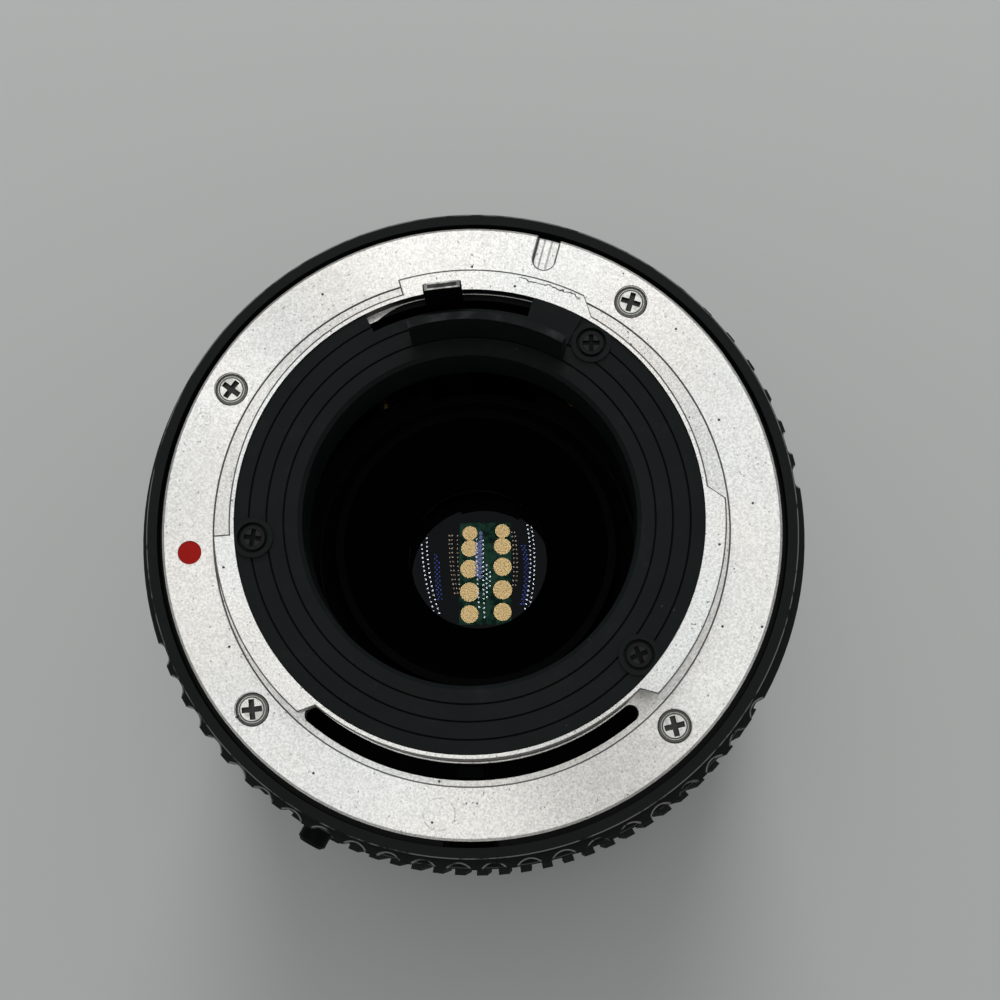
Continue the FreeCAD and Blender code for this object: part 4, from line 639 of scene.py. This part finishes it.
glassPieces = {  # node: coating, share of dark mirror painted as shade on the glass, bulges of front and rear face in millimetres, body
    "rear_element_4": ((0.36, 0.38, 0.42), 0.5, (-0.5, 1.0), "rear_group"),
    "rear_element_3": ((0.50, 0.36, 0.15), 0.0, (-0.5, 0.6), "rear_group"),
    "rear_element_2": ((0.22, 0.50, 0.32), 0.0, (-0.7, -0.4), "rear_group"),
    "rear_element_1": ((0.38, 0.28, 0.50), 0.0, (-0.3, 0.6), "rear_group"),
    "front_element_1": ((0.45, 0.33, 0.75), 0.0, (1.6, -1.4), "front_group"),
    "front_element_2": ((0.60, 0.42, 0.20), 0.0, (1.0, -0.6), "front_group"),
    "front_element_3": ((0.28, 0.55, 0.35), 0.0, (-1.0, -0.3), "front_group"),
}

ringWornLitEdges = {  # radius, height and strength of each corner, worn bare and also painted as a highlight
    "aperture_ring": [(31.4, 75.2, 0.35), (32.5, 71.8, 0.6), (32.5, 67.5, 0.5), (31.5, 66.7, 0.3)],
    "zoom_ring": [(32.5, 63.1, 0.5), (31.9, 34.7, 0.4)],
    "focus_ring": [(31.5, 4.2, 0.4), (31.7, 20.9, 0.4)],
    "main_barrel": [(31.5, 66.3, 0.3), (31.5, 63.5, 0.3)],
    "front_tube": [(27.5, 22.4, 0.3)],
}

satinNodes = ["barrel_front_ring", "focus_retaining_ring", "rear_cell", "rear_spacers"]
innerNodes = ["iris_housing", "iris_drive_ring", "guide_tube", "aperture_coupler", "coupler_screws"]

looks = {
    "bayonet_mount": mountMetal,
    "mount_screws": paintScrews("mount_screws"),
    "alignment_dot": paintDot(),
    "rear_baffle": baffleBlack,
    "rear_light_hood": hoodBlack,
    "front_trim_ring": trimBlack,
    "baffle_screws": paintScrews("baffle_screws"),
    "stop_down_lever": paintLever(),
    "front_cell": paintFrontCell(),
    "zoom_grip": rubber,
    "focus_grip": rubber,
    "front_follower_pins": brass,
    "rear_follower_pins": brass,
    "cam_barrel": aluminium,
    "cam_retaining_ring": aluminium,
}
for name in ("click_ball", "click_spring", "guide_tube_screws", "zoom_key", "button_cap",
             "macro_button_spring", "focus_keys"):
    looks[name] = steel
for name in nodes:
    if name.startswith("iris_blade_"):
        looks[name] = bladeSteel
for name, edges in ringWornLitEdges.items():
    looks[name] = paintRingBlack("satin_" + name, edges, scallops=name == "aperture_ring")
satin = paintRingBlack("satinBlack", [])
looks["macro_button"] = paintBaffleBlack("buttonBlack")
inner = paintBaffleBlack("innerBlack")
for name in satinNodes:
    looks[name] = satin
for name in innerNodes:
    looks[name] = inner
for name, (tint, coated, bulges, body) in glassPieces.items():
    looks[name] = paintGlass("glass_" + name, tint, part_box(name)[1][0] / mm, coated)

for name, node in nodes.items():
    node.data.materials.clear()
    node.data.materials.append(looks[name])
    for face in node.data.polygons:
        face.material_index = 0


def placeObject(name, data):
    placed = bpy.data.objects.new(name, data)
    bpy.context.scene.collection.objects.link(placed)
    return placed


def plainMesh(holder):  # what a curve or a modifier makes, as a mesh of its own
    bpy.context.view_layer.update()
    return bpy.data.meshes.new_from_object(holder.evaluated_get(bpy.context.evaluated_depsgraph_get()))


# glass ground to true spheres, finer than the solids' own triangles
groundLook = {"rings": 40, "turns": 160, "mergeDistance": 0.000001, "creaseAngle": 0.6}


def capHeight(radius, reach, bulge):  # height of a ball cap over its own edge
    if not bulge:
        return 0.0
    ball = (radius * radius + bulge * bulge) / (2.0 * bulge)
    return math.copysign(math.sqrt(ball * ball - reach * reach), ball) - (ball - bulge)


def groundGlass(name, bulges, body):
    front, rear = bulges
    low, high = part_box(name)
    radius = high[0]
    z0 = low[2] + max(front, 0.0) * mm
    z1 = high[2] - max(rear, 0.0) * mm
    rings = groundLook["rings"]
    made = bmesh.new()
    reaches = [radius * i / rings for i in range(rings + 1)]
    outline = [(reach, 0.0, z0 - capHeight(radius, reach, front * mm)) for reach in reaches]
    outline += [(reach, 0.0, z1 + capHeight(radius, reach, rear * mm)) for reach in reversed(reaches)]
    profile = [made.verts.new(spot) for spot in outline]
    edges = [made.edges.new(pair) for pair in zip(profile, profile[1:])]
    bmesh.ops.spin(made, geom=profile + edges, cent=(0, 0, 0), axis=(0, 0, 1), angle=math.tau,
                   steps=groundLook["turns"], use_merge=True)
    bmesh.ops.remove_doubles(made, verts=made.verts, dist=groundLook["mergeDistance"])
    bmesh.ops.recalc_face_normals(made, faces=made.faces)
    for face in made.faces:
        face.smooth = True
    for edge in made.edges:
        edge.smooth = len(edge.link_faces) < 2 or edge.calc_face_angle(0.0) < groundLook["creaseAngle"]
    mesh = bpy.data.meshes.new("ground_" + name)
    made.to_mesh(mesh)
    made.free()
    mesh.materials.append(looks[name])
    piece = placeObject("ground_" + name, mesh)
    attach(piece, body)
    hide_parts(name)
    return piece


glasses = {}
for name, (tint, coated, bulges, body) in glassPieces.items():
    glasses[name] = groundGlass(name, bulges, body)
print("glass:", len(glasses))


# numbers and marks
inkWhite = paintInk("inkWhite")
inkOrange = paintInk("inkOrange")
indexAngle = 170.3
figureLook = {"raised": 0.00002, "curveSteps": 3, "lift": 0.01 * mm}
tickThickness = 0.08 * mm


def wrapPoint(flat, radius, angle, height):  # flat text to the ring's outside, tops to the front
    turn = math.radians(angle) - flat.x / radius
    reach = radius + flat.z
    return Vector((reach * math.cos(turn), reach * math.sin(turn), height - flat.y))


def figureMesh(words, size):
    curve = bpy.data.curves.new("figure", "FONT")
    curve.body = words
    curve.size = size
    curve.extrude = figureLook["raised"]
    curve.align_x = "CENTER"
    curve.align_y = "CENTER"
    curve.resolution_u = figureLook["curveSteps"]
    holder = placeObject("figure", curve)
    mesh = plainMesh(holder)
    bpy.data.objects.remove(holder)
    return mesh


def figures(name, body, ink, scale):  # one plain mesh for all the figures of a ring
    points, faces = [], []
    for words, angle in scale["figures"]:
        mesh = figureMesh(words, scale["size"])
        first = len(points)
        for vertex in mesh.vertices:
            flat = vertex.co + Vector((0.0, 0.0, figureLook["lift"]))
            points.append(wrapPoint(flat, scale["radius"], angle, scale["height"]))
        for face in mesh.polygons:
            faces.append([first + i for i in face.vertices])
        bpy.data.meshes.remove(mesh)
    made = bpy.data.meshes.new(name)
    made.from_pydata(points, [], faces)
    made.materials.append(ink)
    piece = placeObject(name, made)
    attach(piece, body)
    return piece


def tickTree():  # geometry nodes that lay copies of one block round a ring
    tree = bpy.data.node_groups.new("scaleTicks", "GeometryNodeTree")
    kinds = {"Count": "Int", "Start": "Float", "Step": "Float", "Radius": "Float", "Height": "Float",
             "Length": "Float", "Width": "Float", "Ink": "Material"}
    names = {}
    for name, kind in kinds.items():
        socket = tree.interface.new_socket(name, in_out="INPUT", socket_type="NodeSocket" + kind)
        names[name] = socket.identifier
    tree.interface.new_socket("Geometry", in_out="OUTPUT", socket_type="NodeSocketGeometry")
    given = tree.nodes.new("NodeGroupInput").outputs
    output = tree.nodes.new("NodeGroupOutput")

    def make(kind, *values, **named):
        node = tree.nodes.new(kind)
        for key, value in list(enumerate(values)) + list(named.items()):
            if isinstance(value, float):
                node.inputs[key].default_value = value
            else:
                tree.links.new(value, node.inputs[key])
        return node

    def maths(operation, *values):
        node = make("ShaderNodeMath", *values)
        node.operation = operation
        return node.outputs[0]

    index = make("GeometryNodeInputIndex").outputs[0]
    angle = maths("ADD", given["Start"], maths("MULTIPLY", index, given["Step"]))
    across = maths("MULTIPLY", maths("COSINE", angle), given["Radius"])
    along = maths("MULTIPLY", maths("SINE", angle), given["Radius"])
    spot = make("ShaderNodeCombineXYZ", across, along, given["Height"]).outputs[0]
    size = make("ShaderNodeCombineXYZ", tickThickness, given["Width"], given["Length"]).outputs[0]
    turn = make("ShaderNodeCombineXYZ", Z=angle).outputs[0]
    line = make("GeometryNodeMeshLine", Count=given["Count"]).outputs[0]
    moved = make("GeometryNodeSetPosition", Geometry=line, Position=spot).outputs[0]
    block = make("GeometryNodeMeshCube", Size=size).outputs[0]
    copies = make("GeometryNodeInstanceOnPoints", Points=moved, Instance=block, Rotation=turn).outputs[0]
    real = make("GeometryNodeRealizeInstances", copies).outputs[0]
    inked = make("GeometryNodeSetMaterial", Geometry=real, Material=given["Ink"]).outputs[0]
    tree.links.new(inked, output.inputs[0])
    return tree, names


ticks, tickSockets = tickTree()


def tickMarks(name, body, ink, sizes):
    holder = placeObject(name, bpy.data.meshes.new(name))
    modifier = holder.modifiers.new("ticks", "NODES")
    modifier.node_group = ticks
    values = dict(sizes, start=math.radians(sizes["start"]), step=math.radians(sizes["step"]), ink=ink)
    for key, socket in tickSockets.items():
        modifier[socket] = values[key.lower()]
    made = plainMesh(holder)
    holder.modifiers.clear()
    holder.data = made
    made.name = name
    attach(holder, body)
    return holder


stops = ["4", "5.6", "8", "11", "16", "22", "32"]
stopStep = 8.0
firstStop = indexAngle - stopStep * (len(stops) - 1) / 2
apertureScale = {
    "figures": [(words, firstStop + stopStep * i) for i, words in enumerate(stops)],
    "radius": 32.5 * mm, "height": 69.9 * mm, "size": 2.5 * mm,
}
apertureTicks = {"count": len(stops), "start": firstStop, "step": stopStep, "radius": 32.48 * mm,
                 "height": 67.95 * mm, "length": 0.7 * mm, "width": 0.22 * mm}
figures("apertureFigures", "aperture", inkWhite, apertureScale)
tickMarks("apertureTicks", "aperture", inkWhite, apertureTicks)

indexMark = {"count": 1, "start": indexAngle, "step": 0.0, "radius": 31.58 * mm, "height": 64.9 * mm,
             "length": 2.4 * mm, "width": 0.32 * mm}
tickMarks("indexMark", "barrel", inkOrange, indexMark)

zoomTurn = 65.0
zoomTickCount = 8
focalLengths = [35, 40, 50, 60, 70]
shortest, longest = focalLengths[0], focalLengths[-1]
focalFigures = [(str(f), indexAngle - zoomTurn * (f - shortest) / (longest - shortest)) for f in focalLengths]
zoomScale = {"figures": focalFigures, "radius": 32.6 * mm, "height": 60.2 * mm, "size": 2.9 * mm}
figures("zoomFigures", "zoom", inkWhite, zoomScale)
zoomTicks = {"count": zoomTickCount, "start": indexAngle - zoomTurn, "step": zoomTurn / (zoomTickCount - 1),
             "radius": 32.58 * mm, "height": 62.4 * mm, "length": 0.7 * mm, "width": 0.25 * mm}
tickMarks("zoomTicks", "zoom", inkWhite, zoomTicks)

focusTurn = 140.0
metreMarks = (0.7, 0.8, 1, 1.2, 1.5, 2, 3, 5)
footMarks = (2.5, 3, 4, 5, 7, 10, 20)
nearest = metreMarks[0]
foot = 0.3048


def distanceAngle(distance):
    return indexAngle - focusTurn * (1.0 - nearest / distance)


metres = [(str(d), distanceAngle(d)) for d in metreMarks]
metres.append(("∞", indexAngle - focusTurn))
feet = [(str(d), distanceAngle(d * foot)) for d in footMarks]
focusMetres = {"figures": metres, "radius": 31.8 * mm, "height": 19.5 * mm, "size": 1.9 * mm}
focusFeet = {"figures": feet, "radius": 31.8 * mm, "height": 17.2 * mm, "size": 1.9 * mm}
figures("distanceMetres", "focus", inkWhite, focusMetres)
figures("distanceFeet", "focus", inkOrange, focusFeet)
focusMark = {"count": 1, "start": indexAngle, "step": 0.0, "radius": 27.58 * mm, "height": 21.95 * mm,
             "length": 0.8 * mm, "width": 0.4 * mm}
tickMarks("focusMark", "front_slider", inkOrange, focusMark)
print("figures and marks")


# floor, world, lamps and camera
stageLook = {
    "floor": (0.442, 0.449, 0.440), "floorHalf": 3.0, "floorNoise": (9.0, 2.0), "floorDark": 0.985,
    "floorRoughness": 0.8, "floorSpecular": 0.2, "backdrop": (0.43, 0.435, 0.425),
    "backdropLight": 1.0, "sky": (0.97, 0.985, 1.0), "skyLight": 0.50,
}
lampLook = {  # place, target, size, power and tone
    "softAbove": ((-0.02, 0.17, 1.16), (0.0, 0.0, 0.05), (0.62, 0.98), 2.45, (1.0, 1.0, 0.99)),
    "washBehind": ((0.02, 0.60, 0.42), (0.0, 0.10, 0.0), (0.32, 0.32), 2.4, (1.0, 1.0, 1.0)),
}


def makeFloor():
    size = stageLook["floorHalf"]
    mesh = bpy.data.meshes.new("floor")
    corners = [(-size, -size, 0), (size, -size, 0), (size, size, 0), (-size, size, 0)]
    mesh.from_pydata(corners, [], [(0, 1, 2, 3)])
    floor = placeObject("floor", mesh)
    paint = Paint("floorGrey")
    cloud = paint.noise(paint.spot(), *stageLook["floorNoise"])
    dark = colour(stageLook["floor"], stageLook["floorDark"])
    paint.feed(Base_Color=paint.blend(cloud, dark, colour(stageLook["floor"])))
    paint.feed(Roughness=stageLook["floorRoughness"], Specular_IOR_Level=stageLook["floorSpecular"])
    mesh.materials.append(paint.material)


def makeWorld():  # the sky lights the scene, camera, mirrors and glass see the backdrop
    world = bpy.data.worlds.new("studio")
    world.use_nodes = True
    bpy.context.scene.world = world
    tree = world.node_tree
    tree.nodes.clear()
    output = tree.nodes.new("ShaderNodeOutputWorld")
    choose = tree.nodes.new("ShaderNodeMixShader")
    for i, part in enumerate(("sky", "backdrop")):
        light = tree.nodes.new("ShaderNodeBackground")
        light.inputs["Color"].default_value = colour(stageLook[part])
        light.inputs["Strength"].default_value = stageLook[part + "Light"]
        tree.links.new(light.outputs[0], choose.inputs[i + 1])
    path = tree.nodes.new("ShaderNodeLightPath")
    either = path.outputs["Is Camera Ray"]
    for ray in ("Is Glossy Ray", "Is Transmission Ray"):
        largest = tree.nodes.new("ShaderNodeMath")
        largest.operation = "MAXIMUM"
        tree.links.new(either, largest.inputs[0])
        tree.links.new(path.outputs[ray], largest.inputs[1])
        either = largest.outputs[0]
    tree.links.new(either, choose.inputs[0])
    tree.links.new(choose.outputs[0], output.inputs[0])


def areaLamp(name, place, target, size, power, tone):
    lamp = bpy.data.lights.new(name, "AREA")
    lamp.shape = "ELLIPSE"
    lamp.size, lamp.size_y = size
    lamp.energy = power
    lamp.color = tone
    holder = placeObject(name, lamp)
    holder.location = place
    aim = Vector(target) - Vector(place)
    holder.rotation_euler = aim.to_track_quat("-Z", "Y").to_euler()
    return holder


def lightOnly(lamp, receivers):  # light linking: the lamp lights these objects and no others
    group = bpy.data.collections.new(lamp.name + "Lights")
    for receiver in receivers:
        group.objects.link(receiver)
    lamp.light_linking.receiver_collection = group


# lamps of the hall, seen only as a reflection in the rear glass
hallLook = {
    "height": 0.9,
    "rows": [(-0.068, 0.032), (0.011, 0.034), (0.094, 0.033), (0.170, 0.031), (0.228, 0.027)],
    "columns": [(-0.061, -0.003), (0.057, 0.005)],
    "dotPitch": 0.0163,
    "dotRadius": {"white": 0.0033, "blue": 0.0030, "faint": 0.0030, "lilac": 0.0075},
    "amber": (44.0, 30.0, 13.0), "white": (48.0, 48.0, 50.0), "blue": (2.6, 4.0, 15.0),
    "faint": (20.0, 15.5, 11.0), "lilac": (8.0, 9.0, 16.0), "green": (0.7, 2.0, 1.25),
    "sides": {"amber": 24},
    "fewSides": 8, "layer": 0.001, "sheetHeight": 0.92,
    "sheet": [(-0.10, -0.11), (0.09, -0.11), (0.09, 0.27), (-0.10, 0.27)],
    "mottle": {"green": 30.0},
    "fineMottle": 260.0, "mottleNoise": (3.0, 0.7), "mottleStep": (0.38, 0.2), "mottleDark": 0.3,
}
hallStrings = [  # ink, x at the bow's top, y at the bow's top, bow, its reach, first y, last y
    ("white", -0.2211, 0.245, 0.050, 0.311, -0.066, 0.311),
    ("white", -0.2445, 0.290, 0.052, 0.344, -0.058, 0.292),
    ("white", 0.1575, 0.132, -0.027, 0.211, -0.051, 0.337),
    ("white", 0.1725, 0.132, -0.027, 0.211, -0.043, 0.325),
    ("white", -0.036, 0.2, 0.010, 0.25, -0.045, 0.209),
    ("white", -0.013, 0.2, 0.004, 0.25, -0.081, 0.209),
    ("white", 0.000, 0.1, 0.004, 0.25, -0.010, 0.120),
    ("white", 0.012, 0.1, 0.004, 0.25, 0.030, 0.090),
    ("lilac", -0.022, 0.2, 0.000, 0.25, 0.062, 0.240),
    ("lilac", -0.034, 0.2, 0.000, 0.25, 0.070, 0.200),
    ("faint", -0.136, 0.23, 0.022, 0.225, 0.005, 0.231),
    ("faint", -0.126, 0.23, 0.022, 0.225, 0.005, 0.231),
    ("faint", -0.106, 0.22, 0.010, 0.20, 0.020, 0.218),
    ("faint", 0.098, 0.12, -0.008, 0.11, 0.033, 0.237),
    ("faint", 0.109, 0.12, -0.008, 0.11, 0.033, 0.230),
    ("blue", -0.189, 0.16, 0.014, 0.17, -0.015, 0.157),
    ("blue", -0.181, 0.16, 0.012, 0.17, -0.007, 0.150),
    ("blue", -0.173, 0.16, 0.012, 0.17, -0.015, 0.130),
    ("blue", 0.150, 0.08, -0.016, 0.11, -0.034, 0.188),
    ("blue", 0.143, 0.08, -0.013, 0.11, -0.026, 0.180),
    ("blue", 0.136, 0.08, -0.012, 0.11, -0.034, 0.190),
]


def glow(ink):  # plain light, a little uneven
    paint = Paint("hall_" + ink)
    mottle = hallLook["mottle"].get(ink, hallLook["fineMottle"])
    uneven = paint.clouds(paint.spot(), (mottle,) + hallLook["mottleNoise"], hallLook["mottleStep"])
    shade = paint.blend(uneven, colour(hallLook[ink], hallLook["mottleDark"]), colour(hallLook[ink]))
    paint.feed(Base_Color=colour((0.0, 0.0, 0.0)), Specular_IOR_Level=0.0)
    paint.feed(Emission_Color=shade, Emission_Strength=1.0)
    paint.material.cycles.emission_sampling = "NONE"
    return paint.material


def hallDots():
    found = {"white": [], "faint": [], "blue": [], "lilac": []}
    for ink, middle, top, bow, reach, first, last in hallStrings:
        count = int((last - first) / hallLook["dotPitch"])
        for i in range(count + 1):
            y = first + i * hallLook["dotPitch"]
            found[ink].append((middle + bow * ((y - top) / reach) ** 2, y, hallLook["dotRadius"][ink]))
    return found


def makeHall():
    discs = hallDots()
    columns = hallLook["columns"]
    discs["amber"] = [(x, y + shift, size) for y, size in hallLook["rows"] for x, shift in columns]
    made = bmesh.new()
    inks = ["white", "blue", "faint", "lilac", "amber", "green"]  # lowest first, each hides those after it
    for index, ink in enumerate(inks[:-1]):
        for x, y, size in discs[ink]:
            place = Matrix.Translation((x, y, hallLook["height"] + hallLook["layer"] * index))
            sides = hallLook["sides"].get(ink, hallLook["fewSides"])
            ring = bmesh.ops.create_circle(made, cap_ends=True, segments=sides, radius=size, matrix=place)
            ring["verts"][0].link_faces[0].material_index = index
    corners = [made.verts.new((x, y, hallLook["sheetHeight"])) for x, y in hallLook["sheet"]]
    made.faces.new(corners).material_index = len(inks) - 1
    mesh = bpy.data.meshes.new("hallLamps")
    made.to_mesh(mesh)
    made.free()
    for ink in inks:
        mesh.materials.append(glow(ink))
    hall = placeObject("hallLamps", mesh)
    for ray in ("camera", "diffuse", "transmission", "volume_scatter", "shadow"):
        setattr(hall, "visible_" + ray, False)
    lightOnly(hall, [glasses["rear_element_4"]])


cameraLook = {
    "place": Vector((0.006614, -0.029164, 0.250941)), "back": Vector((0.02156547, -0.17804436, 0.98378612)),
    "focal": 66.6, "sensor": 36.0, "near": 0.01, "far": 20.0,
}


def makeCamera():
    lens = bpy.data.cameras.new("camera")
    lens.sensor_width = cameraLook["sensor"]
    lens.lens = cameraLook["focal"]
    lens.clip_start = cameraLook["near"]
    lens.clip_end = cameraLook["far"]
    holder = placeObject("camera", lens)
    back = cameraLook["back"].normalized()
    right = Vector((0, 1, 0)).cross(back).normalized()
    up = back.cross(right)
    turn = Matrix((right, up, back)).transposed().to_4x4()
    holder.matrix_world = Matrix.Translation(cameraLook["place"]) @ turn
    bpy.context.scene.camera = holder


makeFloor()
makeWorld()
lamps = {name: areaLamp(name, *values) for name, values in lampLook.items()}
lamps["washBehind"].visible_glossy = False
meshes = [piece for piece in bpy.context.scene.objects if piece.type == "MESH"]
lit = [piece for piece in meshes if piece not in glasses.values()]
for lamp in lamps.values():
    lightOnly(lamp, lit)
makeHall()
makeCamera()
bpy.context.scene.view_settings.view_transform = "Standard"
print("stage and camera")
